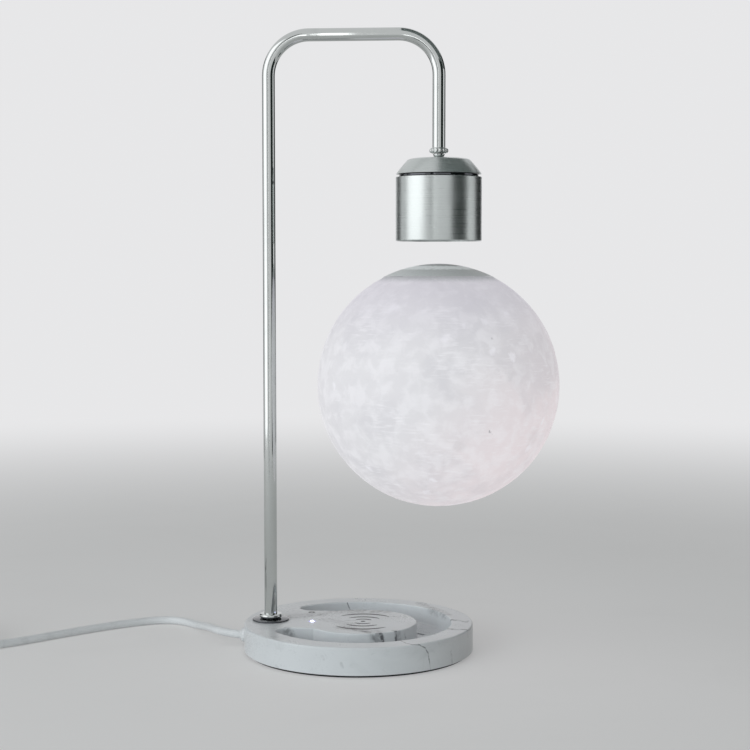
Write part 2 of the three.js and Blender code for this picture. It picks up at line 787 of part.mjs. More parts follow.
function addHeadElectronics() {
  const sender = ring(senderCoilInner, senderCoilOuter, onCover, onCover + senderCoilThickness);
  place(headGroup, "power_sender_coil", sender, copper);
  const sensorBoard = disc(sensorBoardRadius, onCover, onCover + boardThickness);
  place(headGroup, "position_sensor_board", sensorBoard, board);
  const sensorBottom = onCover + boardThickness + seat;
  place(headGroup, "position_sensor", block(hallSensorSize, 0, 0, sensorBottom), blackPlastic);
  const hub = coreRadius + seat + bobbinHubWall;
  const bobbin = turned([
    [coreRadius + seat, bobbinBottom],
    [bobbinRadius, bobbinBottom],
    [bobbinRadius, bobbinBottom + bobbinFlange],
    [hub, bobbinBottom + bobbinFlange],
    [hub, bobbinTop - bobbinFlange],
    [bobbinRadius, bobbinTop - bobbinFlange],
    [bobbinRadius, bobbinTop],
    [coreRadius + seat, bobbinTop],
  ]);
  place(headGroup, "magnet_bobbin", bobbin, whitePlastic);
  const windingBottom = bobbinBottom + bobbinFlange + seat;
  const winding = ring(hub + seat, bobbinRadius - seat, windingBottom, bobbinTop - bobbinFlange - seat);
  place(headGroup, "magnet_winding", winding, copper);
  const core = turned([
    [0, bobbinBottom],
    [coreRadius, bobbinBottom],
    [coreRadius, bracketTop + seat],
    [coreHeadRadius, bracketTop + seat],
    [coreHeadRadius, bracketTop + seat + coreHeadHeight],
    [0, bracketTop + seat + coreHeadHeight],
  ]);
  place(headGroup, "magnet_core", core, steel);
}

// Points of a circle about the globe's centre, between two heights, as a profile.
function globeArc(radius, fromHeight, toHeight, steps) {
  const angleAt = (height) => Math.asin(Math.min(1, height / radius));
  return between(angleAt(fromHeight), angleAt(toHeight), steps, (angle) => [
    radius * Math.cos(angle),
    radius * Math.sin(angle),
  ]);
}

// The same from the lowest point, which lies on the axis.
function globeBowl(radius, toHeight, steps) {
  return [[0, -radius], ...globeArc(radius, -radius, toHeight, steps).slice(1)];
}

const heightOnGlobe = (radius, ringRadius) => Math.sqrt(radius ** 2 - ringRadius ** 2);
const globeInner = globeRadius - globeWall;
const poleCapBottom = heightOnGlobe(globeRadius, poleCapRadius) - poleCapThickness;
const holderTop = poleCapBottom - seat;
const magnetBottom = holderTop - magnetHeight;
const holderBottom = magnetBottom - magnetClearance - holderWall;
const holderRadius = magnetRadius + magnetClearance + holderWall;
const globeScrewPlaces = spread(3, Math.PI / 6).map((angle) => [
  lidBossCircle * Math.cos(angle),
  lidBossCircle * Math.sin(angle),
]);

function addGlobeShells() {
  const shell = turned(
    [
      ...globeBowl(globeRadius, lidSeamHeight - seat / 2, 20),
      ...globeBowl(globeInner, lidSeamHeight - seat / 2, 10).reverse(),
    ],
    globeSides,
  );
  place(globeGroup, "moon_shell", shell, moonSurface);
  const lidArc = (radius) =>
    globeArc(radius, lidSeamHeight + seat / 2, heightOnGlobe(radius, lidHoleRadius), 3);
  const lid = turned([...lidArc(globeRadius), ...lidArc(globeInner).reverse()], globeSides);
  const bossBottom = holderFlangeHeight + holderFlangeThickness + seat;
  const bossTop = heightOnGlobe(globeInner, lidBossCircle) + globeWall / 2;
  const pilotTop = holderFlangeHeight - seat - globeScrewHeadHeight + globeScrewLength + seat;
  const boss = disc(lidBossRadius, bossBottom, bossTop, smallSides);
  const pilot = disc(globeScrewShank + seat, bossBottom - overrun, pilotTop, smallSides);
  const bossed = joined(lid, ...globeScrewPlaces.map(([x, y]) => at(boss, x, y)));
  const drilled = cut(bossed, ...globeScrewPlaces.map(([x, y]) => at(pilot, x, y)));
  place(globeGroup, "moon_lid", drilled, moonSurface);
}

function addGlobeMagnet() {
  const capProfile = [
    [0, poleCapBottom],
    [poleCapRadius, poleCapBottom],
    ...globeArc(globeRadius, poleCapBottom + poleCapThickness, globeRadius, 3).slice(0, -1),
    [0, globeRadius],
  ];
  place(globeGroup, "pole_cap", turned(capProfile, headSides), moonSurface);
  place(globeGroup, "levitation_magnet", disc(magnetRadius, magnetBottom, holderTop), magnetPlate);
  const bore = magnetRadius + magnetClearance;
  const flangeTop = holderFlangeHeight + holderFlangeThickness;
  const holder = turned([
    [0, holderBottom],
    [holderRadius, holderBottom],
    [holderRadius, holderFlangeHeight],
    [holderFlangeRadius, holderFlangeHeight],
    [holderFlangeRadius, flangeTop],
    [holderRadius, flangeTop],
    [holderRadius, holderTop],
    [bore, holderTop],
    [bore, magnetBottom - magnetClearance],
    [0, magnetBottom - magnetClearance],
  ]);
  const holes = globeScrewPlaces.map(([x, y]) =>
    at(disc(globeScrewShank + seat, holderFlangeHeight - overrun, flangeTop + overrun, smallSides), x, y),
  );
  place(globeGroup, "magnet_holder", cut(holder, ...holes), whitePlastic);
  globeScrewPlaces.forEach(([x, y], i) => {
    const body = screw(globeScrewHead, globeScrewHeadHeight, globeScrewShank, globeScrewLength);
    const piece = place(globeGroup, `moon_screw_${i + 1}`, body, steel);
    piece.position.set(x, y, holderFlangeHeight - seat - globeScrewHeadHeight);
  });
}

function addGlobeLight() {
  const boardTop = holderBottom - seat;
  const boardBottom = boardTop - boardThickness;
  const coilTop = holderBottom + receiverCoilThickness;
  const coil = ring(holderRadius + seat, receiverCoilOuter, holderBottom, coilTop);
  place(globeGroup, "power_receiver_coil", coil, copper);
  place(globeGroup, "receiver_board", disc(receiverBoardRadius, boardBottom, boardTop), board);
  const stemTop = boardBottom - seat;
  const stemBottom = stemTop - stemLength;
  place(globeGroup, "light_stem", disc(stemRadius, stemBottom, stemTop), satinAluminium);
  const lightBoardBottom = stemBottom - seat - boardThickness;
  const lightBoard = disc(lightBoardRadius, lightBoardBottom, lightBoardBottom + boardThickness);
  place(globeGroup, "light_board", lightBoard, whitePlastic);
  const diode = disc(diodeRadius, lightBoardBottom - seat - diodeThickness, lightBoardBottom - seat);
  place(globeGroup, "light_diode", diode, diodeFinish);
}

function addGland() {
  const flangeBack = seat;
  const reach = glandReach + seat;
  const gland = turned([
    [glandBoreRadius, -glandStubLength],
    [glandStubRadius, -glandStubLength],
    [glandStubRadius, flangeBack],
    [glandRadius, flangeBack],
    [glandRadius, reach / 2],
    [glandLipRadius, reach],
    [glandBoreRadius, reach],
  ]);
  glandFrame(place(baseGroup, "cable_gland", gland, marble));
  const lead = new THREE.CatmullRomCurve3([
    glandPoint(reach - cordRadius),
    glandPoint(-shellWall),
    glandPoint(-shellWall - cordDiameter),
    new THREE.Vector3(
      powerConnectorX - powerConnectorSize[0] - leadRadius,
      powerConnectorY + leadRadius,
      glandHeight,
    ),
    new THREE.Vector3(powerConnectorX - powerConnectorSize[0] / 2 - seat, powerConnectorY, glandHeight),
  ]);
  place(baseGroup, "power_lead", sweep(rod(leadRadius, leadSides), lead, leadSteps), cordJacket);
}

// A point on the gland's axis, so far out from the base's wall.
function glandPoint(out) {
  const reach = baseRadius + out;
  return new THREE.Vector3(reach * Math.cos(glandAzimuth), reach * Math.sin(glandAzimuth), glandHeight);
}

// The coil of spare cord turns clockwise seen from above. It spirals in along the floor, climbs to
// the second layer in the half turn where it reverses, spirals out and runs off straight to the plug.
const coilTurns = 2 * coilTurnsPerLayer + coilTailTurns;
const climbTurns = 0.5;

function coilPoint(turn) {
  const radius = coilInnerRadius + layerHeight * Math.abs(turn - coilTurnsPerLayer);
  const middle = coilTurnsPerLayer;
  const climb = THREE.MathUtils.smoothstep(turn, middle - climbTurns / 2, middle + climbTurns / 2);
  const angle = coilStartAzimuth - 2 * Math.PI * turn;
  return new THREE.Vector3(
    coilX + radius * Math.cos(angle),
    coilY + radius * Math.sin(angle),
    coilHeight + layerHeight * climb,
  );
}

function headingAt(turn) {
  const angle = coilStartAzimuth - 2 * Math.PI * turn;
  return new THREE.Vector3(Math.sin(angle), -Math.cos(angle), 0);
}

function coilLine() {
  const lead = coilPoint(0).addScaledVector(headingAt(0), -cordDiameter);
  const loops = Array.from({ length: Math.ceil(coilTurns * loopSteps) + 1 }, (_, i) =>
    coilPoint(Math.min(i / loopSteps, coilTurns)),
  );
  const last = coilPoint(coilTurns);
  const heading = headingAt(coilTurns);
  const tail = tailShares.map(([along, drop]) => {
    const point = last.clone().addScaledVector(heading, coilTailLength * along);
    point.z = THREE.MathUtils.lerp(last.z, plugHeight, drop);
    return point;
  });
  return [lead, ...loops, ...tail];
}

// How far along the straight tail, and how much of its drop to the plug's height is done there.
const tailShares = [[0.25, 0.04], [0.45, 0.4], [0.65, 0.85], [0.8, 1], [1, 1]];

function stationsAlong(points) {
  return points.map((point, i) => {
    const before = points[Math.max(i - 1, 0)];
    const after = points[Math.min(i + 1, points.length - 1)];
    return { point, direction: after.clone().sub(before).normalize() };
  });
}

// The least room between stretches of the coil that aren't neighbours along it.
function leastGap(points) {
  const apart = loopSteps / 2;
  let least = Infinity;
  points.forEach((point, i) => {
    for (let j = i + apart; j < points.length; j += 1) {
      least = Math.min(least, point.distanceTo(points[j]) - cordDiameter);
    }
  });
  return least;
}

function tieOutline(thickness) {
  const inner = coilInnerRadius - cordRadius - tieGap - thickness;
  const outer = coilOuterRadius + coilTailTurns * layerHeight + cordRadius + tieGap + thickness;
  const low = coilHeight - cordRadius - tieGap - thickness;
  const high = coilHeight + layerHeight + cordRadius + tieGap + thickness;
  return [[inner, low], [outer, low], [outer, high], [inner, high]].map(([x, y]) => new THREE.Vector2(x, y));
}

function cordTie() {
  const outline = new THREE.Shape(tieOutline(tieThickness));
  outline.holes.push(new THREE.Path(tieOutline(0)));
  const band = new THREE.ExtrudeGeometry(outline, { depth: tieWidth, bevelEnabled: false });
  return closed(band.translate(0, 0, -tieWidth / 2).rotateX(Math.PI / 2));
}

function addCord() {
  const first = glandPoint(glandReach + 2 * seat);
  const joint = coilPoint(0).addScaledVector(headingAt(0), -cordDiameter - seat);
  const straightIn = joint.clone().addScaledVector(headingAt(0), -cordDiameter);
  const route = cordRoute.map(([x, y, z]) => new THREE.Vector3(x - baseRadius, y, z));
  const line = new THREE.CatmullRomCurve3([first, ...route, straightIn, joint]);
  place(cordGroup, "power_cord", sweep(rod(cordRadius, cordSides), line, cordSteps), cordJacket);
  const coil = coilLine();
  const length = new THREE.CatmullRomCurve3(coil).getLength() + line.getLength();
  console.log(`cord length ${length.toFixed(0)} mm, least gap in the coil ${leastGap(coil).toFixed(2)} mm`);
  const coilTube = sweepStations(rod(cordRadius, loopSides), stationsAlong(coil));
  place(cordGroup, "power_cord_coil", coilTube, cordJacket);
  tieAzimuths.forEach((angle, i) => {
    const tie = place(cordGroup, `cord_tie_${i + 1}`, cordTie(), strap);
    tie.position.set(coilX, coilY, 0);
    tie.rotation.z = angle;
  });
  addPlug(coil.at(-1), headingAt(coilTurns));
}

function addPlug(end, heading) {
  const plug = new THREE.Group();
  plug.position.copy(end);
  plug.quaternion.setFromUnitVectors(new THREE.Vector3(0, 0, 1), heading);
  cordGroup.add(plug);
  const bootEnd = seat + plugBootLength;
  const boot = turned([[0, seat], [plugBootTipRadius, seat], [plugBootRadius, bootEnd], [0, bootEnd]]);
  place(plug, "cord_plug_boot", boot, cordJacket);
  const bodyStart = bootEnd + seat;
  const bodyEnd = bodyStart + plugLength;
  place(plug, "cord_plug_body", disc(plugRadius, bodyStart, bodyEnd), cordJacket);
  const barrel = ring(barrelBoreRadius, barrelRadius, bodyEnd + seat, bodyEnd + seat + barrelLength);
  place(plug, "cord_plug_barrel", barrel, magnetPlate);
}

addBase();
addBaseElectronics();
addArch();
addHeadTop();
addHeadBody();
addHeadElectronics();
addGlobeShells();
addGlobeMagnet();
addGlobeLight();
addGland();
addCord();

export default lamp;
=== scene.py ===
import math

import bmesh
import bpy
from bpy.props import FloatProperty, FloatVectorProperty, IntProperty, PointerProperty
from mathutils import Matrix, Vector


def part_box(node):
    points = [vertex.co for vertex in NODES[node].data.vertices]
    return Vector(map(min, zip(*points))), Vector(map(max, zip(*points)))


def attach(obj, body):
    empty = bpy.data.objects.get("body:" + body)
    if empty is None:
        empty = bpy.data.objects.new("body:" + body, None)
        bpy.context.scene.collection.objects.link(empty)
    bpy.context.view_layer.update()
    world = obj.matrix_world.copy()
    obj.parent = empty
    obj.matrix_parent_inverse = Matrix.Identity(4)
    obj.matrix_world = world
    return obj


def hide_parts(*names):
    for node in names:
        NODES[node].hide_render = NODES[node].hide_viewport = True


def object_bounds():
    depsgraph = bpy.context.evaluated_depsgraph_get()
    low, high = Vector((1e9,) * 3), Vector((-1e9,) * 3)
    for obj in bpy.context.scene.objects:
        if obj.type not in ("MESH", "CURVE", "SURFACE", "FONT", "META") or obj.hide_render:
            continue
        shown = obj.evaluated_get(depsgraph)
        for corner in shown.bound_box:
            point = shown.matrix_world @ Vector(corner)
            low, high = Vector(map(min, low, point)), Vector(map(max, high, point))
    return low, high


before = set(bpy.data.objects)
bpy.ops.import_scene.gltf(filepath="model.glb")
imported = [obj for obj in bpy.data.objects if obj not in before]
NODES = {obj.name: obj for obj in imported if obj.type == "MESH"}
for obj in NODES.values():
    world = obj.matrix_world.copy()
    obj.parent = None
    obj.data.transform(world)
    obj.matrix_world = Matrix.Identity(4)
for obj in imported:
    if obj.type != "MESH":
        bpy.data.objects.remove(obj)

bl_info = {
    "name": "Magnetic Levitation Lamp",
    "version": (1, 0, 0),
    "blender": (4, 5, 0),
    "location": "3D View > Sidebar > Lamp",
    "description": "Makes the detailed pieces and finishes of a magnetic levitation lamp",
    "category": "Object",
}

# Profiles and outlines are written in millimetres and stored in metres.
MM = 0.001
FULL_TURN = 2 * math.pi
QUARTER_TURN = math.pi / 2
SHARP_ANGLE = math.radians(32)
WELD_DISTANCE = 0.002 * MM

# The solid model that the pieces are fitted to
CAD_LOW, CAD_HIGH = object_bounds()


def reach_of(node):
    """Centre in plan, lowest and highest point and largest radius of a round solid, in mm."""
    low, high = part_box(node)
    middle = (low + high) / 2 / MM
    return middle.x, middle.y, low.z / MM, high.z / MM, (high.x - low.x) / 2 / MM


SHELL_BOTTOM, BASE_TOP, BASE_RADIUS = reach_of("base_shell")[2:]
POST_X, POST_Y, FLANGE_BOTTOM, FLANGE_TOP, FLANGE_RADIUS = reach_of("post_flange")
HEAD_X, HEAD_Y, HOUSING_BOTTOM, HOUSING_TOP, HOUSING_RADIUS = reach_of("head_housing")
SHELL_LOW, SHELL_HIGH, GLOBE_RADIUS = reach_of("moon_shell")[2:]
GLOBE_HEIGHT = SHELL_LOW + GLOBE_RADIUS
POST, HEAD, GLOBE = (POST_X, POST_Y), (HEAD_X, HEAD_Y), (HEAD_X, HEAD_Y, GLOBE_HEIGHT)
INDICATOR = reach_of("indicator_light_pipe")[:2]


# Settings


def colour_of(label, text, *rgb):
    return FloatVectorProperty(name=label, description=text, subtype="COLOR", size=4, default=(*rgb, 1))


def number_of(label, text, default, low=0, **more):
    return FloatProperty(name=label, description=text, default=default, min=low, **more)


def length_of(label, text, default, low=0.001, **more):
    return number_of(label, text, default, low, unit="LENGTH", **more)


def power_of(label, text, default):
    return number_of(label, text, default, unit="POWER")


class StageSettings(bpy.types.PropertyGroup):
    floor_colour: colour_of("Floor", "Colour of the table top", 0.80, 0.79, 0.775)
    backdrop_colour: colour_of("Backdrop", "Plain colour behind the lamp", 0.80, 0.80, 0.81)
    key_power: power_of("Key light", "Power of the large soft box on the left", 5.4)
    strip_power: power_of("Edge light", "Power of the narrow light on the right", 0.2)
    top_power: power_of("Top light", "Power of the soft box above", 1.6)
    front_power: power_of("Front light", "Power of the low soft box at the front", 16.5)
    side_power: power_of("Side light", "Power of the weak light on the right", 1.2)
    fill: number_of("Fill", "Strength of the even light from all round", 0.17)


class CordSettings(bpy.types.PropertyGroup):
    diameter: length_of("Diameter", "Thickness of the cord", 0.0052)
    length: length_of("Length", "Whole length of the cord", 1.465, 0.1)
    jacket_colour: colour_of("Jacket", "Colour of the cord's jacket", 0.80, 0.805, 0.815)
    strap_colour: colour_of("Straps", "Colour of the two straps", 0.05, 0.05, 0.055)


class BaseSettings(bpy.types.PropertyGroup):
    stone_colour: colour_of("Stone", "Ground colour of the stone", 0.73, 0.745, 0.76)
    cloud_colour: colour_of("Clouds", "Colour of the soft clouds", 0.50, 0.52, 0.53)
    # The vein colour also paints the post's shadow on the stone.
    vein_and_shadow_colour: colour_of("Veins", "Colour of the fine veins", 0.10, 0.10, 0.11)
    edge_round: length_of("Edge", "Radius of the tray's upper edge", 0.0008, 0.0002)
    floor_round: length_of("Fillet", "Radius between tray wall and floor", 0.0012, 0.0002)
    indicator_colour: colour_of("Indicator", "Colour of the small light", 0.62, 0.66, 1.0)
    indicator_glow: number_of("Glow", "Strength of the small light", 6.0)


class MetalSettings(bpy.types.PropertyGroup):
    chrome_colour: colour_of("Chrome", "Colour of the polished tube", 0.57, 0.595, 0.585)
    dark_chrome_colour: colour_of("Dark chrome", "Colour of the post's flange", 0.10, 0.105, 0.115)
    # The aluminium's slight green is a painted reflection of the greenish surroundings.
    aluminium_colour: colour_of("Aluminium", "Colour of the head", 0.58, 0.62, 0.61)
    tube_radius: length_of("Tube", "Outer radius of the arch", 0.004)
    bead_count: IntProperty(name="Beads", description="Beads round the ring nut", default=14, min=6, max=60)


class GlobeSettings(bpy.types.PropertyGroup):
    light_colour: colour_of("Highlands", "Lighter colour of the globe", 0.296, 0.292, 0.302)
    shade_colour: colour_of("Plains", "Darker colour of the globe", 0.252, 0.248, 0.262)
    # The blush is partly a pink tint and partly painted light: it makes the globe's right and lower side
    # lighter as well as pinker, evening out its shading.
    blush_and_painted_light_colour: colour_of("Blush", "Warm tint on the far side", 0.345, 0.312, 0.322)
    relief: length_of("Relief", "Depth of the globe's relief", 0.0009, 0, max=0.003)
    lid_colour: colour_of("Lid", "Colour of the dimmer top", 0.80, 0.83, 0.83)
    glow: number_of("Glow", "Light from inside the globe", 1.74)
    seed: IntProperty(name="Seed", description="Changes the relief", default=7, min=0, max=1000)


# Meshes


class Body:
    """Gathers rings of corners, in millimetres, into one closed mesh."""

    def __init__(self):
        self.bm = bmesh.new()

    def ring(self, points):
        return [self.bm.verts.new(Vector(point) * MM) for point in points]

    def wall(self, first, second):
        for i, corner in enumerate(first):
            j = (i + 1) % len(first)
            self.bm.faces.new((corner, first[j], second[j], second[i]))

    def walls(self, *rings):
        for first, second in zip(rings, rings[1:]):
            self.wall(first, second)

    def shaft(self, outline, *heights):
        """Upright walls over an outline, and their lowest and highest ring."""
        rings = [self.ring([(x, y, height) for x, y, *_ in outline]) for height in heights]
        self.walls(*rings)
        return rings

    def fill(self, *rings):
        edges = []
        for ring in rings:
            for i, corner in enumerate(ring):
                pair = (corner, ring[(i + 1) % len(ring)])
                edges.append(self.bm.edges.get(pair) or self.bm.edges.new(pair))
        bmesh.ops.triangle_fill(self.bm, edges=edges, use_beauty=True)

    def plate(self, outline, bottom, top):
        """A thin flat layer with this outline."""
        for ring in self.shaft(outline, bottom, top):
            self.fill(ring)

    def mesh(self, name, move=None):
        bmesh.ops.remove_doubles(self.bm, verts=self.bm.verts, dist=WELD_DISTANCE)
        bmesh.ops.recalc_face_normals(self.bm, faces=self.bm.faces)
        if move is not None:
            self.bm.transform(move)
        for face in self.bm.faces:
            face.smooth = True
        for edge in self.bm.edges:
            edge.smooth = edge.is_manifold and edge.calc_face_angle(0) < SHARP_ANGLE
        mesh = bpy.data.meshes.new(name)
        self.bm.to_mesh(mesh)
        self.bm.free()
        return mesh


def steps_of(first, last, count):
    """Even steps from one value to another, with both."""
    return [first + (last - first) * i / count for i in range(count + 1)]


def circle(radius, height, sides, x=0.0, y=0.0):
    """Corners of a level circle."""
    turns = [FULL_TURN * i / sides for i in range(sides)]
    return [(x + radius * math.cos(turn), y + radius * math.sin(turn), height) for turn in turns]


def arc_points(x, y, radius, first, last, steps):
    """Points on an arc about (x, y), with both ends."""
    turns = steps_of(first, last, steps)
    return [(x + radius * math.cos(turn), y + radius * math.sin(turn)) for turn in turns]


def bend(start, middle, end, t):
    """A point on the small curve that a corner is replaced by."""
    return tuple(start * (1 - t) ** 2 + middle * 2 * t * (1 - t) + end * t**2)


def softened(profile, steps=4):
    """A profile whose corners (radius, height, round) are replaced by small curves."""
    points = []
    count = len(profile)
    for i, corner in enumerate(profile):
        here = Vector(corner[:2])
        if len(corner) < 3:
            points.append(tuple(here))
            continue
        before = Vector(profile[(i - 1) % count][:2]) - here
        after = Vector(profile[(i + 1) % count][:2]) - here
        start = here + before.normalized() * min(corner[2], before.length / 2)
        end = here + after.normalized() * min(corner[2], after.length / 2)
        points += [bend(start, here, end, step / steps) for step in range(steps + 1)]
    return points


def turned(name, profile, sides, centre=(0, 0), move=None):
    """A turned piece from (radius, height) corners, on the axis at both ends or closed."""
    body = Body()
    rings = [body.ring(circle(max(radius, 0), height, sides, *centre)) for radius, height in profile]
    body.walls(*rings)
    if profile[0][0] > 0 or profile[-1][0] > 0:
        body.wall(rings[-1], rings[0])
    return body.mesh(name, move=move)


def link(thing):
    bpy.context.scene.collection.objects.link(thing)
    return thing


def piece(name, mesh, finish, body, slot, *nodes):
    """Puts a finished mesh or curve in the scene, on its CAD body."""
    thing = link(bpy.data.objects.new(name, mesh))
    if finish:
        thing.data.materials.clear()
        thing.data.materials.append(MATERIALS[finish])
    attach(thing, body)
    if nodes:
        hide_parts(*nodes)
    return thing


def turned_piece(name, profile, sides, centre, finish, slot, *nodes, body="stand", move=None):
    """A turned piece with its finish, on its CAD body."""
    return piece(name, turned(name, profile, sides, centre, move), finish, body, slot, *nodes)


def dress(finish, names):
    """Gives CAD solids that stay as they are their finish."""
    for name in names.split():
        node = NODES[name]
        if node.material_slots:
            for slot in node.material_slots:
                slot.material = MATERIALS[finish]
        else:
            node.data.materials.append(MATERIALS[finish])


# Node trees


class Tree:
    """Adds nodes to a node tree and joins them."""

    def __init__(self, tree):
        self.tree = tree

    def add(self, kind, feeds=(), **settings):
        node = self.tree.nodes.new(kind)
        for key, value in settings.items():
            setattr(node, key, value)
        for key, value in dict(feeds).items():
            self.feed(node.inputs[key], value)
        return node

    def out(self, kind, feeds=(), output=0, **settings):
        return self.add(kind, feeds, **settings).outputs[output]

    def feed(self, socket, value):
        if isinstance(value, bpy.types.NodeSocket):
            self.tree.links.new(value, socket)
        else:
            socket.default_value = value

    def socket(self, label, kind, way="INPUT"):
        name = label.replace("_", " ")
        return self.tree.interface.new_socket(name, in_out=way, socket_type="NodeSocket" + kind)

    def math(self, operation, *values, clamp=False):
        return self.out("ShaderNodeMath", enumerate(values), operation=operation, use_clamp=clamp)

    def plus(self, first, second, clamp=False):
        return self.math("ADD", first, second, clamp=clamp)

    def minus(self, first, second):
        return self.math("SUBTRACT", first, second)

    def times(self, first, second):
        return self.math("MULTIPLY", first, second)

    def ramp(self, value, start, end, low=0.0, high=1.0, kind="SMOOTHSTEP"):
        feeds = {"Value": value, "From Min": start, "From Max": end, "To Min": low, "To Max": high}
        return self.out("ShaderNodeMapRange", feeds, interpolation_type=kind)

    def vector(self, operation, *values, output=0):
        return self.out("ShaderNodeVectorMath", enumerate(values), output, operation=operation)

    def scaled(self, vector, factor):
        return self.out("ShaderNodeVectorMath", {0: vector, "Scale": factor}, operation="SCALE")

    def parts(self, vector):
        return self.add("ShaderNodeSeparateXYZ", {"Vector": vector}).outputs

    def combine(self, x=0.0, y=0.0, z=0.0):
        return self.out("ShaderNodeCombineXYZ", {"X": x, "Y": y, "Z": z})

    def off_axis(self, parts):
        """Distance from the upright axis."""
        squares = [self.math("POWER", parts[axis], 2.0) for axis in "XY"]
        return self.math("SQRT", self.plus(*squares))

    def noise(self, vector, scale, detail=3.0, roughness=0.5, distortion=0.0, output="Fac"):
        feeds = {"Vector": vector, "Scale": scale, "Detail": detail}
        feeds.update({"Roughness": roughness, "Distortion": distortion})
        return self.out("ShaderNodeTexNoise", feeds, output)

    def wandering(self, vector, scale, reach):
        """A place shifted to and fro, so that what is drawn there has uneven edges."""
        swing = self.vector("SUBTRACT", self.noise(vector, scale, output="Color"), (0.5, 0.5, 0.5))
        return self.vector("ADD", vector, self.scaled(swing, reach))

    def mix(self, factor, first, second):
        return self.out("ShaderNodeMix", {0: factor, 6: first, 7: second}, 2, data_type="RGBA")

    def bump(self, height, distance):
        return self.out("ShaderNodeBump", {"Height": height, "Distance": distance})


def shader_group(name, outputs, **inputs):
    """A new shader node group that reads a place and these values, with its start and end."""
    tree = Tree(bpy.data.node_groups.new(name, "ShaderNodeTree"))
    tree.socket("Vector", "Vector")
    for label, value in inputs.items():
        tree.socket(label, "Vector" if isinstance(value, tuple) else "Float").default_value = value
    for label in outputs:
        tree.socket(label, "Vector" if label == "Normal" else "Float", "OUTPUT")
    return tree, tree.add("NodeGroupInput").outputs, tree.add("NodeGroupOutput").inputs


def fine_grain():
    """Fine even grain: a roughness that wanders and a slight bump."""
    values = {"Scale": 2000.0, "Depth": 0.00002, "Roughness": 0.5, "Spread": 0.1}
    tree, start, end = shader_group("Fine Grain", ("Roughness", "Normal"), **values)
    fine = tree.noise(start["Vector"], start["Scale"], 2.0)
    broad = tree.noise(start["Vector"], tree.times(start["Scale"], 0.03), 2.0)
    wander = tree.times(tree.minus(tree.plus(fine, broad), 1.0), start["Spread"])
    tree.feed(end["Roughness"], tree.plus(start["Roughness"], wander, clamp=True))
    tree.feed(end["Normal"], tree.bump(fine, start["Depth"]))
    return tree.tree


def turned_brushing():
    """Brush lines that run round the Z axis, as on a piece finished in a lathe."""
    values = {"Lines": 3000.0, "Depth": 0.00001, "Roughness": 0.3, "Spread": 0.1}
    tree, start, end = shader_group("Turned Brushing", ("Streaks", "Roughness", "Normal"), **values)
    parts = tree.parts(start["Vector"])
    across = tree.times(tree.minus(parts["Z"], tree.off_axis(parts)), start["Lines"])
    place = tree.combine(across, tree.times(parts["X"], 22.0), tree.times(parts["Y"], 22.0))
    streaks = tree.noise(place, 1.0, 4.0, 0.65)
    wander = tree.times(tree.minus(streaks, 0.5), start["Spread"])
    tree.feed(end["Streaks"], streaks)
    tree.feed(end["Roughness"], tree.plus(start["Roughness"], wander, clamp=True))
    tree.feed(end["Normal"], tree.bump(streaks, start["Depth"]))
    return tree.tree


def handled_surface():
    """Faint smudges and fine dust that dull a polished surface here and there."""
    values = {"Scale": 60.0, "Clean": 0.06, "Handled": 0.16}
    tree, start, end = shader_group("Handled Surface", ("Mask", "Roughness"), **values)
    smears = tree.noise(start["Vector"], start["Scale"], 4.0, 0.6, 0.8)
    dust = tree.noise(start["Vector"], tree.times(start["Scale"], 30.0), 1.0)
    mask = tree.plus(tree.ramp(smears, 0.45, 0.75), tree.ramp(dust, 0.66, 0.8, 0.0, 0.5), clamp=True)
    span = tree.minus(start["Handled"], start["Clean"])
    tree.feed(end["Mask"], mask)
    tree.feed(end["Roughness"], tree.math("MULTIPLY_ADD", mask, span, start["Clean"]))
    return tree.tree


def soft_clouds():
    """Broad soft patches."""
    values = {"Scale": 30.0, "Start": 0.45, "End": 0.7, "Distortion": 0.6}
    tree, start, end = shader_group("Soft Clouds", ("Mask",), **values)
    cloud = tree.noise(start["Vector"], start["Scale"], 5.0, 0.55, start["Distortion"])
    tree.feed(end["Mask"], tree.ramp(cloud, start["Start"], start["End"]))
    return tree.tree


def stone_vein():
    """One dark line that wanders from one point to another and fades at its edges, for a vein and for the
    post's painted shadow.
    """
    values = {"From": (0, 0, 0), "To": (0.01, 0, 0), "Width": 0.0006, "Wander": 0.004, "Strength": 0.8}
    tree, start, end = shader_group("Stone Vein", ("Mask",), **values)
    moved = tree.wandering(start["Vector"], 160.0, start["Wander"])
    line = tree.vector("SUBTRACT", start["To"], start["From"])
    offset = tree.vector("SUBTRACT", moved, start["From"])
    along, whole = (tree.vector("DOT_PRODUCT", way, line, output=1) for way in (offset, line))
    foot = tree.scaled(line, tree.math("DIVIDE", along, whole, clamp=True))
    distance = tree.vector("DISTANCE", offset, foot, output=1)
    patchy = tree.ramp(tree.noise(start["Vector"], 420.0, 2.0), 0.3, 0.6, 0.25, 1.0)
    edge = tree.ramp(distance, tree.times(start["Width"], 0.25), start["Width"], 1.0, 0.0)
    tree.feed(end["Mask"], tree.times(tree.times(edge, patchy), start["Strength"]))
    return tree.tree


GROUPS = {}


def build_groups():
    for make in (fine_grain, turned_brushing, handled_surface, soft_clouds, stone_vein):
        GROUPS[make.__name__] = make()


# Materials


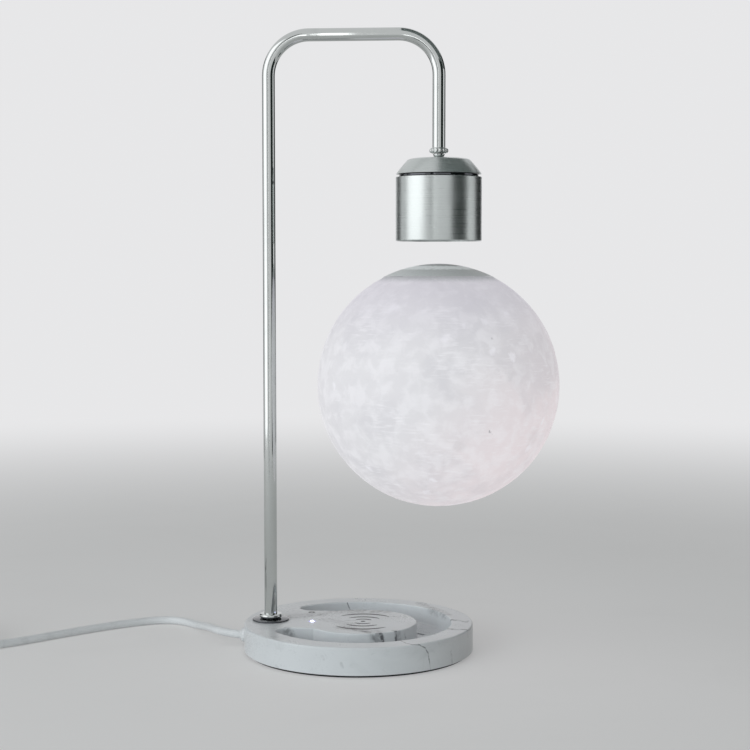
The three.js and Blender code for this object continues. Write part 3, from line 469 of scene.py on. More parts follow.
class Finish(Tree):
    """A new material with one Principled shader, and a place measured from a centre in mm."""

    def __init__(self, name, centre=(0, 0, 0), **settings):
        self.material = bpy.data.materials.new(name)
        self.material.use_nodes = True
        super().__init__(self.material.node_tree)
        self.tree.nodes.clear()
        self.shader = self.add("ShaderNodeBsdfPrincipled")
        self.end = self.add("ShaderNodeOutputMaterial", {"Surface": self.shader.outputs["BSDF"]}).inputs
        for key, value in settings.items():
            self.shader.inputs[key.replace("_", " ")].default_value = value
        coordinates = self.out("ShaderNodeTexCoord", output="Object")
        location = [-MM * value for value in centre]
        self.place = self.out("ShaderNodeMapping", {"Vector": coordinates, "Location": location})

    def effect(self, name, **feeds):
        """The outputs of a shader node group at this material's place."""
        node = self.add("ShaderNodeGroup", node_tree=GROUPS[name])
        for key, value in {"Vector": self.place, **feeds}.items():
            self.feed(node.inputs[key], value)
        return node.outputs

    def stretched(self, x, y, z):
        return self.vector("MULTIPLY", self.place, (x, y, z))

    def paint(self, base, roughness=None, normal=None, glow=None):
        """Feeds the shader, and gives the finished material."""
        feeds = {"Base Color": base, "Roughness": roughness, "Normal": normal, "Emission Color": glow}
        for key, value in feeds.items():
            if value is not None:
                self.feed(self.shader.inputs[key], value)
        return self.material


def tone(colour, factor):
    """The same colour, lighter or darker."""
    return (*(min(1, channel * factor) for channel in colour[:3]), 1)


def moulded(name, colour, roughness=0.45, scale=1800.0, depth=0.00002):
    """Moulded plastic or rubber with a fine grain and slightly uneven colour."""
    tree = Finish(name)
    grain = tree.effect("fine_grain", Scale=scale, Depth=depth, Roughness=roughness, Spread=0.2)
    patches = tree.effect("soft_clouds", Scale=90.0)["Mask"]
    return tree.paint(tree.mix(patches, colour, tone(colour, 0.92)), grain["Roughness"], grain["Normal"])


def polished(name, colour, clean=0.05, handled=0.14):
    """Polished metal with faint smudges."""
    tree = Finish(name, Metallic=1.0)
    marks = tree.effect("handled_surface", Scale=55.0, Clean=clean, Handled=handled)
    return tree.paint(tree.mix(marks["Mask"], colour, tone(colour, 0.93)), marks["Roughness"])


def brushed(name, colour, x=0.0, lines=3400.0, depth=0.000006, roughness=0.3):
    """Metal brushed round an upright axis at x."""
    tree = Finish(name, (x, 0, 0), Metallic=1.0)
    lathe = tree.effect("turned_brushing", Lines=lines, Depth=depth, Roughness=roughness, Spread=0.22)
    marks = tree.effect("handled_surface", Scale=40.0, Clean=0.0, Handled=0.06)
    streaked = tree.mix(lathe["Streaks"], tone(colour, 0.86), tone(colour, 1.1))
    roughness = tree.plus(lathe["Roughness"], marks["Roughness"], clamp=True)
    return tree.paint(streaked, roughness, lathe["Normal"])


def wound_copper():
    """Enamelled copper turns that lie side by side, with painted shade in the grooves between them."""
    tree = Finish("enamelled_copper", Metallic=1.0, Coat_Weight=0.4, Coat_Roughness=0.15)
    turns = tree.math("SINE", tree.times(tree.parts(tree.place)["Z"], 12000.0))
    # Painted shade: the grooves between the turns take the darker copper colour.
    grooves = tree.ramp(turns, -1.0, 0.2)
    colour = tree.mix(grooves, (0.30, 0.10, 0.03, 1), (0.78, 0.36, 0.14, 1))
    roughness = tree.ramp(tree.noise(tree.place, 300.0), 0.3, 0.7, 0.25, 0.45)
    return tree.paint(colour, roughness, tree.bump(grooves, 0.0002))


def circuit_lacquer():
    """Green solder mask over darker tracks, with bare pads."""
    tree = Finish("circuit_lacquer", Coat_Weight=0.5, Coat_Roughness=0.2)
    tracks, pads = (
        tree.out("ShaderNodeTexVoronoi", {"Vector": tree.place, "Scale": scale}, distance=measure)
        for scale, measure in ((260.0, "MANHATTAN"), (420.0, "CHEBYCHEV"))
    )
    lines = tree.ramp(tracks, 0.42, 0.5)
    dots = tree.ramp(pads, 0.16, 0.12)
    lacquer = tree.mix(lines, (0.02, 0.16, 0.06, 1), (0.04, 0.24, 0.10, 1))
    roughness = tree.ramp(tree.noise(tree.place, 900.0), 0.3, 0.7, 0.3, 0.5)
    relief = tree.bump(tree.plus(lines, dots), 0.00005)
    return tree.paint(tree.mix(dots, lacquer, (0.62, 0.6, 0.55, 1)), roughness, relief)


def lit(name, colour, glow, ground=(0.9, 0.9, 0.9, 1)):
    """A part that gives light, slightly uneven."""
    tree = Finish(name, Roughness=0.3, Emission_Strength=glow)
    speckle = tree.noise(tree.place, 1500.0, 2.0)
    base = tree.mix(speckle, ground, tone(ground, 0.85))
    return tree.paint(base, glow=tree.mix(speckle, colour, tone(colour, 0.9)))


# Where the stone's clearer veins run, and the dark bands of painted shadow that the post casts over the
# bridge and along the pad's back edge, in millimetres: from, to, width, wander and strength.
# A point without a height lies on the stone's top.
VEINS_AND_PAINTED_SHADOW = (
    ((41.2, -58.4, 17.6), (44.1, -56.3, 15.3), 0.55, 0.8, 0.75),
    ((44.1, -56.3, 15.3), (45.9, -54.8, 11.8), 0.65, 0.8, 0.8),
    ((45.9, -54.8, 11.8), (46.5, -54.3, 7.7), 0.6, 0.8, 0.75),
    ((46.5, -54.3, 7.7), (47.5, -53.5, 1), 0.5, 0.9, 0.6),
    ((59, -40.4, 9.5), (59.6, -39.4, 2.6), 1.3, 2, 0.22),
    ((68.5, -20.4, 17.1), (68.8, -19.3, 13.8), 0.8, 1, 0.3),
    ((29.8, -51.3), (32.9, -56.9), 0.8, 1.5, 0.65), ((32.9, -56.9), (36.6, -60.2), 0.9, 1.5, 0.75),
    ((36.6, -60.2), (41.2, -58.4, 17.9), 0.8, 1.2, 0.7), ((42.1, 45.4), (44.3, 42.2), 0.9, 1.5, 0.6),
    ((46.6, 37.5), (49.1, 35.2), 0.9, 1.5, 0.65), ((35.8, 56.8), (54.7, 23.3), 4.6, 4, 0.42),
    ((57.9, 8.4), (62, 6.4), 2.2, 1.5, 0.9), ((62, 6.4), (67.3, 2.2), 1.8, 1.5, 0.85),
    ((67.3, 2.2), (68.5, 5.5), 1.2, 1, 0.7), ((55.3, -16.8), (60.7, -18.6), 2.2, 1.5, 0.9),
    # From (-46, 8) to (-18, 25) and from (-18, 27) to (14, 30): broad bands of painted shadow where the
    # post's shadow crosses the bridge and runs along the pad's back edge.
    ((60.7, -18.6), (67.6, -18.9), 1.9, 1.5, 0.85), ((-46, 8), (-18, 25), 8.5, 5, 0.36),
    ((-18, 27), (14, 30), 9, 5, 0.48), ((-8, -18), (12, -29), 8, 5, 0.5),
    ((-20, 2), (-6, -8), 7, 4, 0.28), ((-12.3, 56.7, 17.5), (-10.2, 57.1, 11.4), 0.6, 0.8, 0.75),
    # From (-17.6, 27.2) to (12.6, 28.6): painted shadow along the pad's back edge.
    ((-17.6, 27.2), (-7.2, 31), 3.4, 3, 0.75), ((-7.2, 31), (3.7, 31.8), 3.6, 3, 0.75),
    ((3.7, 31.8), (12.6, 28.6), 3, 3, 0.6), ((16.9, 14.9), (29, 13.8), 1.2, 2, 0.55),
    ((-6.8, -19.8), (1.8, -26), 2.2, 2, 0.8), ((1.8, -26), (9.4, -30.8), 2.5, 2, 1),
    ((11.4, -33.5, 17.6), (12.4, -33.1, 13.3), 1.4, 2, 0.65),
    ((16, -31.7), (17.2, -31.2, 13.2), 1.9, 2.5, 0.95),
    ((13.2, -33, 17.4), (15.2, -32.3, 12), 5.5, 2.5, 0.5),
    ((25.5, -25, 17.4), (26.5, -24.2, 12), 3.6, 2.5, 0.35), ((-8.5, 1), (-3, 1.8), 1.6, 2, 0.5),
    ((24.8, -26, 18), (25.3, -25.5, 12), 1.7, 2.5, 0.85), ((22.9, -24.4), (24.8, -26), 1.3, 2, 0.6),
    # From (-44.5, 7.1) to (-17.3, 23.9): the post's cast shadow across the bridge, painted as a dark band.
    ((29.9, -20.2, 15.5), (30.5, -19.4, 12.5), 1, 1.5, 0.4), ((-44.5, 7.1), (-35.1, 10.7), 2.8, 3, 0.6),
    ((-35.1, 10.7), (-26.2, 16.4), 2.8, 3, 0.7), ((-26.2, 16.4), (-17.3, 23.9), 2.6, 3, 0.62),
    ((-42, -22, 15.5), (-38, -25, 11), 4.5, 4, 0.55),
    ((-44.7, -55.8, 2.5), (-43, -57, 1.6), 1.6, 2, 0.18),
    ((-4.3, -71.4, 9), (-3.6, -71.4, 6.5), 1.3, 2, 0.2),
    ((-15.6, -69.8, 12.6), (-14.6, -70, 11), 1.3, 2, 0.16), ((-10, 70.8, 16), (6, 71.2, 9), 0.8, 3, 0.6),
    ((6, 71.2, 9), (22, 68, 2), 0.7, 3, 0.5), ((-60, 38.9, 16), (-50, 51.1, 4), 0.9, 3, 0.55),
)

# How far the indicator's light spreads on the stone, in metres
HALO_RADIUS = 4.2 * MM


def on_stone(point):
    """A place on the stone, in metres."""
    return Vector((*point, BASE_TOP)[:3]) * MM


def marble(settings):
    """White stone with soft gray clouds, faint lavender shade and a few fine veins, with the post's shadow
    painted on as dark bands and the indicator's light painted round it as a blue glow.
    """
    tree = Finish("marble_look_stone", Coat_Weight=0.08, Coat_Roughness=0.12, Emission_Strength=0.9)
    stone, veins_and_shadow = settings.stone_colour, 0.0
    for scale, start, distortion, share in ((24.0, 0.42, 1.2, 0.32), (85.0, 0.56, 2.0, 0.3)):
        cloud = tree.effect("soft_clouds", Scale=scale, Start=start, End=0.78, Distortion=distortion)
        stone = tree.mix(tree.times(cloud["Mask"], share), stone, settings.cloud_colour)
    for start, end, width, wander, strength in VEINS_AND_PAINTED_SHADOW:
        line = {"From": on_stone(start), "To": on_stone(end), "Width": width * MM}
        dark_line = tree.effect("stone_vein", **line, Wander=wander * MM, Strength=strength)
        veins_and_shadow = tree.math("MAXIMUM", veins_and_shadow, dark_line["Mask"])
    stone = tree.mix(veins_and_shadow, stone, settings.vein_and_shadow_colour)
    # Painted light: a blue glow on the stone round the indicator, fed to the stone's emission.
    from_light = tree.vector("DISTANCE", tree.place, on_stone(INDICATOR), output=1)
    halo = tree.math("POWER", tree.ramp(from_light, 0.0, HALO_RADIUS, 1.0, 0.0), 2.0)
    glow = tree.mix(halo, (0, 0, 0, 1), (0.16, 0.10, 0.95, 1))
    grain = tree.effect("fine_grain", Scale=1400.0, Depth=0.00001, Roughness=0.3, Spread=0.14)
    return tree.paint(stone, grain["Roughness"], grain["Normal"], glow)


# Pits and patches of the globe, in millimetres from its centre: place, radius, strength.
# A patch of negative strength is lighter than the ground.
SPOTS = (
    ((33.5, -62.3, 25), 3.6, -0.45), ((34.3, -59.2, 31), 1.7, 0.5), ((33.6, -63.5, -21.5), 1.6, 0.6),
    ((43.4, -60.3, 10.4), 5, 0.14), ((14.6, -66.9, -30.4), 5.5, 0.1), ((58, -38, -28), 8, 0.1),
    ((45, -56.1, 21.3), 3.6, -0.5), ((41.1, -42.7, 45.9), 3, -0.4), ((29.5, -55.1, 41.5), 3.4, -0.4),
    ((17.1, -61.8, 38.8), 3, -0.35), ((6.8, -67.3, 32.3), 5, -0.35), ((-0.7, -53.8, -52.3), 3, -0.5),
    ((-5.5, -43, -61.2), 3.6, -0.4), ((54.8, -51.1, 3.6), 2.4, -0.45), ((64.2, -34.2, -18.4), 2.6, -0.5),
    ((55.4, -36.9, -34.6), 3.4, -0.45), ((-39.2, -43.3, -47.1), 3, -0.4), ((-24.9, -51.1, 49), 5, -0.35),
    ((-60.9, -43.7, 2.4), 3.2, -0.4),
)


def moon_skin(settings):
    """Frosted plastic, printed in level layers and lit from inside, with faint plains and pits; painted
    light makes its right and lower side lighter and pinker, and painted shade darkens its top and a band
    under the lid.
    """
    tree = Finish("moon_printed_plastic", GLOBE, Specular_IOR_Level=0.3, Emission_Strength=settings.glow)
    place, parts, shade = tree.place, tree.parts(tree.place), settings.shade_colour
    light = tone(settings.light_colour, 1.25)
    relief = tree.out("ShaderNodeAttribute", output="Fac", attribute_name="relief")
    plains, patches = (
        tree.effect("soft_clouds", Scale=scale, Start=0.42, End=0.66, Distortion=distortion)["Mask"]
        for scale, distortion in ((24.0, 0.4), (110.0, 0.3))
    )
    side = tree.minus(parts["X"], tree.times(parts["Z"], 0.8))
    streaks = tree.ramp(tree.noise(tree.stretched(110.0, 110.0, 700.0), 1.0, 2.0), 0.5, 0.74, 0.0, 0.38)
    streaked = tree.times(streaks, tree.ramp(tree.noise(place, 38.0, 2.0), 0.46, 0.62))
    # Pink tint and painted light: the right and lower side is made lighter and pinker, evening out the
    # shading from the lamps.
    ground = tree.mix(tree.ramp(side, -0.01, 0.09), settings.light_colour, settings.blush_and_painted_light_colour)
    layers = [
        (tree.times(plains, 0.45), shade),
        (tree.times(patches, 0.34), light),
        (tree.ramp(relief, 0.45, 0.05, 0.0, 0.4), tone(shade, 0.8)),
        (streaked, light),
    ]
    uneven = tree.wandering(place, 210.0, 0.007)
    for spot, radius, strength in SPOTS:
        distance = tree.vector("DISTANCE", uneven, Vector(spot) * MM, output=1)
        mask = tree.ramp(distance, radius * 0.25 * MM, radius * MM, abs(strength), 0.0)
        layers.append((mask, tone(shade, 0.4 if strength > 0 else 1.5)))
    # Painted shade: the top of the globe is darker, and a dark band with an uneven edge lies just under the
    # lid.
    columns = tree.noise(tree.stretched(700.0, 700.0, 60.0), 1.0)
    height = tree.math("MULTIPLY_ADD", columns, 0.002, parts["Z"])
    layers.append((tree.ramp(parts["Z"], 0.02, 0.064, 0.0, 0.4), (0.215, 0.20, 0.235, 1)))
    layers.append((tree.ramp(height, 0.0642, 0.0686, 0.0, 0.85), (0.135, 0.14, 0.145, 1)))
    for mask, colour in layers:
        ground = tree.mix(mask, ground, colour)
    rings = tree.math("SINE", tree.times(parts["Z"], FULL_TURN / 0.0006))
    fine = tree.noise(place, 420.0, 4.0, 0.6)
    normal = tree.bump(tree.plus(tree.times(rings, 0.12), fine), 0.00012)
    return tree.paint(ground, tree.ramp(fine, 0.3, 0.7, 0.5, 0.66), normal, ground)


def lid_skin(settings):
    """The same plastic with the light dimmed: a gray outer band, a lighter ring and a gray pole, whose gray
    is painted shade, darker to the right on the band and lighter to the left on the pole.
    """
    tree = Finish("moon_lid_plastic", GLOBE, Specular_IOR_Level=0.3, Emission_Strength=0.3)
    parts = tree.parts(tree.place)
    uneven = tree.noise(tree.stretched(420.0, 420.0, 0.0), 1.0)
    reach = tree.math("MULTIPLY_ADD", uneven, 0.006, tree.off_axis(parts))
    # Painted shade: the band and the pole take darker tones of the lid's colour; the band darkens to the
    # right and the pole lightens to the left.
    band, ring, pole = (tone(settings.lid_colour, factor) for factor in (0.62, 1.0, 0.52))
    outer = tree.mix(tree.ramp(parts["X"], -0.03, 0.03, 0.0, 0.45), band, tone(band, 0.6))
    pole = tree.mix(tree.ramp(parts["X"], -0.016, 0.01), tone(pole, 1.35), pole)
    ground = tree.mix(tree.ramp(reach, 0.0225, 0.0275), ring, outer)
    ground = tree.mix(tree.ramp(reach, 0.0172, 0.0182, 1.0, 0.0), ground, pole)
    columns = tree.noise(tree.stretched(700.0, 700.0, 30.0), 1.0)
    ground = tree.mix(tree.ramp(columns, 0.45, 0.7, 0.0, 0.3), ground, tone(band, 0.7))
    grain = tree.effect("fine_grain", Scale=900.0, Depth=0.00004, Roughness=0.5, Spread=0.2)
    return tree.paint(ground, grain["Roughness"], grain["Normal"], ground)


MATERIALS = {}


def build_materials(scene):
    metals, cords, base = scene.lamp_metals, scene.lamp_cord, scene.lamp_base
    MATERIALS.update(
        stone=marble(base),
        moon=moon_skin(scene.lamp_globe),
        lid=lid_skin(scene.lamp_globe),
        chrome=polished("polished_chrome", metals.chrome_colour),
        dark_chrome=polished("dark_polished_chrome", metals.dark_chrome_colour, 0.08, 0.2),
        aluminium=brushed("satin_aluminium_turned", metals.aluminium_colour, HEAD_X),
        stem=brushed("aluminium_stem", metals.aluminium_colour, HEAD_X, 1500.0),
        steel=brushed("zinc_plated_steel", (0.52, 0.53, 0.55, 1), 0.0, 700.0, 0.00001, 0.38),
        iron=brushed("turned_iron", (0.30, 0.30, 0.31, 1), HEAD_X, 1200.0, 0.00002, 0.42),
        magnet=polished("nickel_plated_magnet", (0.66, 0.66, 0.65, 1), 0.12, 0.28),
        jacket=moulded("cord_jacket", cords.jacket_colour, 0.42, 1500.0, 0.00001),
        wire=moulded("wire_insulation", (0.70, 0.70, 0.71, 1), 0.4, 1200.0),
        strap=moulded("strap_rubber", cords.strap_colour, 0.75, 2600.0, 0.00012),
        foot=moulded("foot_rubber", (0.018, 0.018, 0.02, 1), 0.8, 1600.0, 0.00015),
        black=moulded("black_plastic", (0.025, 0.025, 0.027, 1), 0.48, 1400.0, 0.00005),
        white=moulded("white_plastic", (0.76, 0.765, 0.77, 1), 0.4, 1600.0),
        gland=moulded("gland_plastic", (0.74, 0.745, 0.755, 1), 0.38, 1700.0),
        ferrite=moulded("sintered_ferrite", (0.045, 0.045, 0.05, 1), 0.7, 900.0, 0.0001),
        print=moulded("dark_gray_print", (0.06, 0.055, 0.06, 1), 0.5, 2500.0),
        copper=wound_copper(),
        board=circuit_lacquer(),
        plug=polished("nickel_plated_plug", (0.70, 0.69, 0.66, 1), 0.1, 0.22),
        diode=lit("light_emitter", (1.0, 0.86, 0.62, 1), 1.5, (0.85, 0.7, 0.3, 1)),
        indicator=lit("indicator_light", base.indicator_colour, base.indicator_glow),
    )


# Geometry Nodes


class GeometryTree(Tree):
    """A Geometry Nodes tree with named inputs that ends in Realize Instances and Set Material."""

    def __init__(self, name, **inputs):
        super().__init__(bpy.data.node_groups.new(name, "GeometryNodeTree"))
        for label, kind in {"Geometry": "Geometry", **inputs, "Material": "Material"}.items():
            self.socket(label, kind)
        self.socket("Geometry", "Geometry", "OUTPUT")
        self.start = self.add("NodeGroupInput").outputs
        self.end = self.add("NodeGroupOutput").inputs

    def switch(self, test, no, yes):
        feeds = {"Switch": test, "False": no, "True": yes}
        return self.out("GeometryNodeSwitch", feeds, input_type="FLOAT")

    def with_copies(self, points, **feeds):
        """The starting mesh joined by a copy of the small piece at each point, as the whole tree."""
        copy = self.out("GeometryNodeObjectInfo", {"Object": self.start["Copy"]}, "Geometry")
        copies = self.out("GeometryNodeInstanceOnPoints", {"Points": points, "Instance": copy, **feeds})
        joined = self.add("GeometryNodeJoinGeometry")
        for part in (self.start["Geometry"], copies):
            self.feed(joined.inputs[0], part)
        return self.finish(joined.outputs[0])

    def finish(self, geometry):
        whole = self.out("GeometryNodeRealizeInstances", {"Geometry": geometry})
        feeds = {"Geometry": whole, "Material": self.start["Material"]}
        self.feed(self.end["Geometry"], self.out("GeometryNodeSetMaterial", feeds))
        return self.tree


def baked(name, tree, mesh, move=None, **values):
    """The plain mesh that a tree makes from a starting mesh and these named inputs."""
    source = link(bpy.data.objects.new(name + "_source", mesh))
    modifier = source.modifiers.new("Build", "NODES")
    modifier.node_group = tree
    for item in tree.interface.items_tree:
        key = item.name.replace(" ", "_").lower()
        if item.in_out == "INPUT" and key in values:
            modifier[item.identifier] = values[key]
    source.update_tag()
    depsgraph = bpy.context.evaluated_depsgraph_get()
    depsgraph.update()
    evaluated = source.evaluated_get(depsgraph)
    result = bpy.data.meshes.new_from_object(evaluated, preserve_all_data_layers=True, depsgraph=depsgraph)
    source.modifiers.clear()
    bpy.data.objects.remove(source)
    if move is not None:
        result.transform(move)
    result.name = name
    return result


def repeated(name, tree, start, small, finish, body, slot, nodes, **values):
    """A piece that a tree makes from a starting mesh and copies of a small one."""
    source = link(bpy.data.objects.new("copy_source", small))
    mesh = baked(name, tree, start, copy=source, material=MATERIALS[finish], **values)
    bpy.data.objects.remove(source)
    return piece(name, mesh, None, body, slot, *nodes)


def ring_of_copies():
    """Copies of a small piece round an upright axis, joined to the starting mesh."""
    inputs = {"Ring_Radius": "Float", "First_Turn": "Float", "Centre": "Vector"}
    tree = GeometryTree("Ring Of Copies", Copy="Object", Count="Int", **inputs)
    start = tree.start
    feeds = {"Vertices": start["Count"], "Radius": start["Ring Radius"]}
    points = tree.out("GeometryNodeMeshCircle", feeds)
    turn = tree.combine(z=start["First Turn"])
    feeds = {"Geometry": points, "Translation": start["Centre"], "Rotation": turn}
    placed = tree.out("GeometryNodeTransform", feeds)
    step = tree.math("DIVIDE", FULL_TURN, start["Count"])
    angle = tree.math("MULTIPLY_ADD", tree.out("GeometryNodeInputIndex"), step, start["First Turn"])
    return tree.with_copies(placed, Rotation=tree.combine(z=angle))


def row_of_ribs():
    """Copies of a ring along the Z axis, growing from the first to the last, on the starting mesh."""
    inputs = {key: "Float" for key in ("First_Height", "Step", "First_Size", "Last_Size")}
    tree = GeometryTree("Row Of Ribs", Copy="Object", Count="Int", **inputs)
    start = tree.start
    way = {"Start Location": tree.combine(z=start["First Height"]), "Offset": tree.combine(z=start["Step"])}
    points = tree.out("GeometryNodeMeshLine", {"Count": start["Count"], **way}, mode="OFFSET")
    share = tree.math("DIVIDE", tree.out("GeometryNodeInputIndex"), tree.minus(start["Count"], 1.0))
    size = tree.ramp(share, 0.0, 1.0, start["First Size"], start["Last Size"], "LINEAR")
    return tree.with_copies(points, Scale=tree.combine(size, size, 1.0))


def moon_tree():
    """A hollow ball, open at the top, with pits and plains pressed into its outside."""
    numbers = ("Outer_Radius", "Inner_Radius", "Outer_Seam", "Inner_Seam", "Relief", "Seed")
    inputs = {key: "Float" for key in numbers}
    tree = GeometryTree("Moon Shell", **inputs, Columns="Int", Rows="Int", Centre="Vector")
    start = tree.start
    inner_rows = 24.0
    rows = tree.plus(start["Rows"], inner_rows)
    size = {"Size X": 1.0, "Size Y": 1.0, "Vertices X": start["Columns"], "Vertices Y": rows}
    grid = tree.out("GeometryNodeMeshGrid", size)
    place = tree.parts(tree.out("GeometryNodeInputPosition"))
    turn = tree.times(tree.plus(place["X"], 0.5), FULL_TURN)
    last = tree.minus(rows, 1.0)
    row = tree.times(tree.plus(place["Y"], 0.5), last)
    outer_last = tree.minus(start["Rows"], 1.0)
    compare = {"data_type": "FLOAT", "operation": "GREATER_THAN"}
    inside = tree.out("FunctionNodeCompare", {"A": row, "B": tree.plus(outer_last, 0.5)}, **compare)
    outer_turn = tree.ramp(row, 0.0, outer_last, -QUARTER_TURN, start["Outer Seam"], "LINEAR")
    inner_turn = tree.ramp(row, start["Rows"], last, start["Inner Seam"], -QUARTER_TURN, "LINEAR")
    latitude = tree.switch(inside, outer_turn, inner_turn)
    level = tree.math("COSINE", latitude)
    across = [tree.times(level, tree.math(way, turn)) for way in ("COSINE", "SINE")]
    direction = tree.combine(*across, tree.math("SINE", latitude))
    shift = tree.combine(start["Seed"], tree.times(start["Seed"], 1.7))
    source = tree.vector("ADD", direction, shift)
    plains = tree.noise(source, 2.1, 6.0, 0.62)
    depth = tree.math("MULTIPLY_ADD", tree.noise(source, 16.0, 4.0), 0.3, tree.times(plains, 0.55))
    for scale, wide, deep in ((4.5, 0.30, 0.20), (10.0, 0.26, 0.22), (22.0, 0.24, 0.16)):
        cell = tree.out("ShaderNodeTexVoronoi", {"Vector": source, "Scale": scale}, feature="F1")
        bowl = tree.ramp(cell, 0.0, wide, -deep, 0.0)
        rim_out = tree.ramp(cell, wide * 0.8, wide, 0.0, deep * 0.5)
        rim_in = tree.ramp(cell, wide, wide * 1.5, deep * 0.5, 0.0)
        depth = tree.plus(depth, tree.plus(bowl, tree.math("MINIMUM", rim_out, rim_in)))
    relief = tree.plus(depth, 0.12, clamp=True)
    near_seam = tree.ramp(latitude, tree.minus(start["Outer Seam"], 0.03), start["Outer Seam"], 1.0, 0.0)
    drop = tree.times(tree.minus(1.0, relief), tree.times(start["Relief"], near_seam))
    radius = tree.switch(inside, tree.minus(start["Outer Radius"], drop), start["Inner Radius"])
    point = tree.vector("ADD", tree.scaled(direction, radius), start["Centre"])
    feeds = {"Geometry": grid, "Name": "relief", "Value": tree.switch(inside, relief, 1.0)}
    named = tree.out("GeometryNodeStoreNamedAttribute", feeds, data_type="FLOAT", domain="POINT")
    ball = tree.out("GeometryNodeSetPosition", {"Geometry": named, "Position": point})
    welded = tree.out("GeometryNodeMergeByDistance", {"Geometry": ball, "Distance": 0.00001})
    return tree.finish(tree.out("GeometryNodeSetShadeSmooth", {"Geometry": welded}))


# Stage

# The table top in millimetres, and the camera in millimetres of lens, metres and radians
FLOOR_HEIGHT, FLOOR_RADII = -0.1, (60, 300, 1200, 9000)
CAMERA_SENSOR, CAMERA_LENS = 36, 77.78
CAMERA_PLACE, CAMERA_TURN = (0.0851, -1.0, 0.2422), (QUARTER_TURN - 0.0689, 0, 0.0747)

# Cards beside the camera's view, in metres: name, place, aim, size and colour
HEAD_AIM = (HEAD_X * MM, 0, HOUSING_BOTTOM * MM)
CARDS = (
    ("dark_card_right", (0.85, -0.48, 0.3), HEAD_AIM, (0.78, 0.9), (0.035, 0.05, 0.045)),
    ("dark_card_back", (0.8, 0.75, 0.35), HEAD_AIM, (0.8, 1.0), (0.012, 0.016, 0.016)),
    ("dark_card_left", (-0.75, 0.72, 0.3), HEAD_AIM, (0.5, 0.9), (0.10, 0.105, 0.11)),
    ("dark_card_front", (-0.229, -0.856, 0.3), HEAD_AIM, (0.10, 0.9), (0.30, 0.32, 0.32)),
    ("dark_card_top", (0.75, 0.0, 1.25), (0.05, 0, 0.3), (1.8, 1.8), (0.36, 0.39, 0.38)),
)

# Lamps, in metres: name, place, aim, size, the setting of its power and its share of it,
# its colour, and whether metal shows it
LIGHTS = (
    ("key_light", (-1.03, -0.55, 0.52), HEAD_AIM, (1.15, 1.5), "key_power", 1, (0.985, 0.98, 1.0), True),
    ("edge_light", (1.15, 0.02, 0.42), HEAD_AIM, (0.06, 0.9), "strip_power", 0.55, (1, 1, 1), True),
    ("line_light", (-0.13, -1.136, 0.3), HEAD_AIM, (0.04, 0.9), "strip_power", 1, (1, 1, 1), True),
    ("top_light", (0.1, -0.15, 1.5), (0, 0, 0), (1.2, 1.2), "top_power", 1, (1, 1, 1), False),
    ("side_light", (1.1, -0.6, 0.25), HEAD_AIM, (0.8, 0.8), "side_power", 1, (1, 1, 1), False),
    ("front_light", (-0.93, -1.95, 0.5), (0, 0, 0.02), (1.1, 0.9), "front_power", 1, (0.86, 0.96, 1), False),
)


def aimed(name, data, place, target):
    """A new lamp or card at a place, turned towards a spot."""
    thing = link(bpy.data.objects.new(name, data))
    thing.location = place
    thing.rotation_euler = (Vector(target) - Vector(place)).to_track_quat("-Z", "Y").to_euler()
    return thing


def soft_box(name, place, target, size, power, colour, in_metal):
    """A rectangular lamp that points at a spot."""
    light = bpy.data.lights.new(name, "AREA")
    light.shape = "RECTANGLE"
    light.size, light.size_y = size
    light.energy, light.color = power, colour
    aimed(name, light, place, target).visible_glossy = in_metal


def reflector(name, place, target, size, colour):
    """A dark card that only metal and gloss see, for contrast in the chrome."""
    width, height = size[0] / 2, size[1] / 2
    mesh = bpy.data.meshes.new(name)
    corners = [(-width, -height, 0), (width, -height, 0), (width, height, 0), (-width, height, 0)]
    mesh.from_pydata(corners, [], [(0, 1, 2, 3)])
    card = aimed(name, mesh, place, target)
    cloth = Finish(name + "_cloth", Roughness=0.9)
    weave = cloth.noise(cloth.place, 300.0)
    mesh.materials.append(cloth.paint(cloth.mix(weave, (*colour, 1), tone(colour, 0.8))))
    card.visible_camera = card.visible_diffuse = card.visible_shadow = False


def sees_backdrop(tree):
    """True for rays that see the backdrop itself, in metal and glass too."""
    path = tree.add("ShaderNodeLightPath").outputs
    seen = tree.math("MAXIMUM", path["Is Camera Ray"], path["Is Glossy Ray"])
    return tree.math("MAXIMUM", seen, path["Is Transmission Ray"])


def light_world(scene, settings):
    scene.world = world = bpy.data.worlds.new("studio")
    world.use_nodes = True
    world.node_tree.nodes.clear()
    tree = Tree(world.node_tree)
    seen = tree.out("ShaderNodeBackground", {"Color": settings.backdrop_colour, "Strength": 1.0})
    light = tree.out("ShaderNodeBackground", {"Color": (0.92, 1.0, 0.98, 1), "Strength": settings.fill})
    both = tree.out("ShaderNodeMixShader", {0: sees_backdrop(tree), 1: light, 2: seen})
    tree.add("ShaderNodeOutputWorld", {"Surface": both})


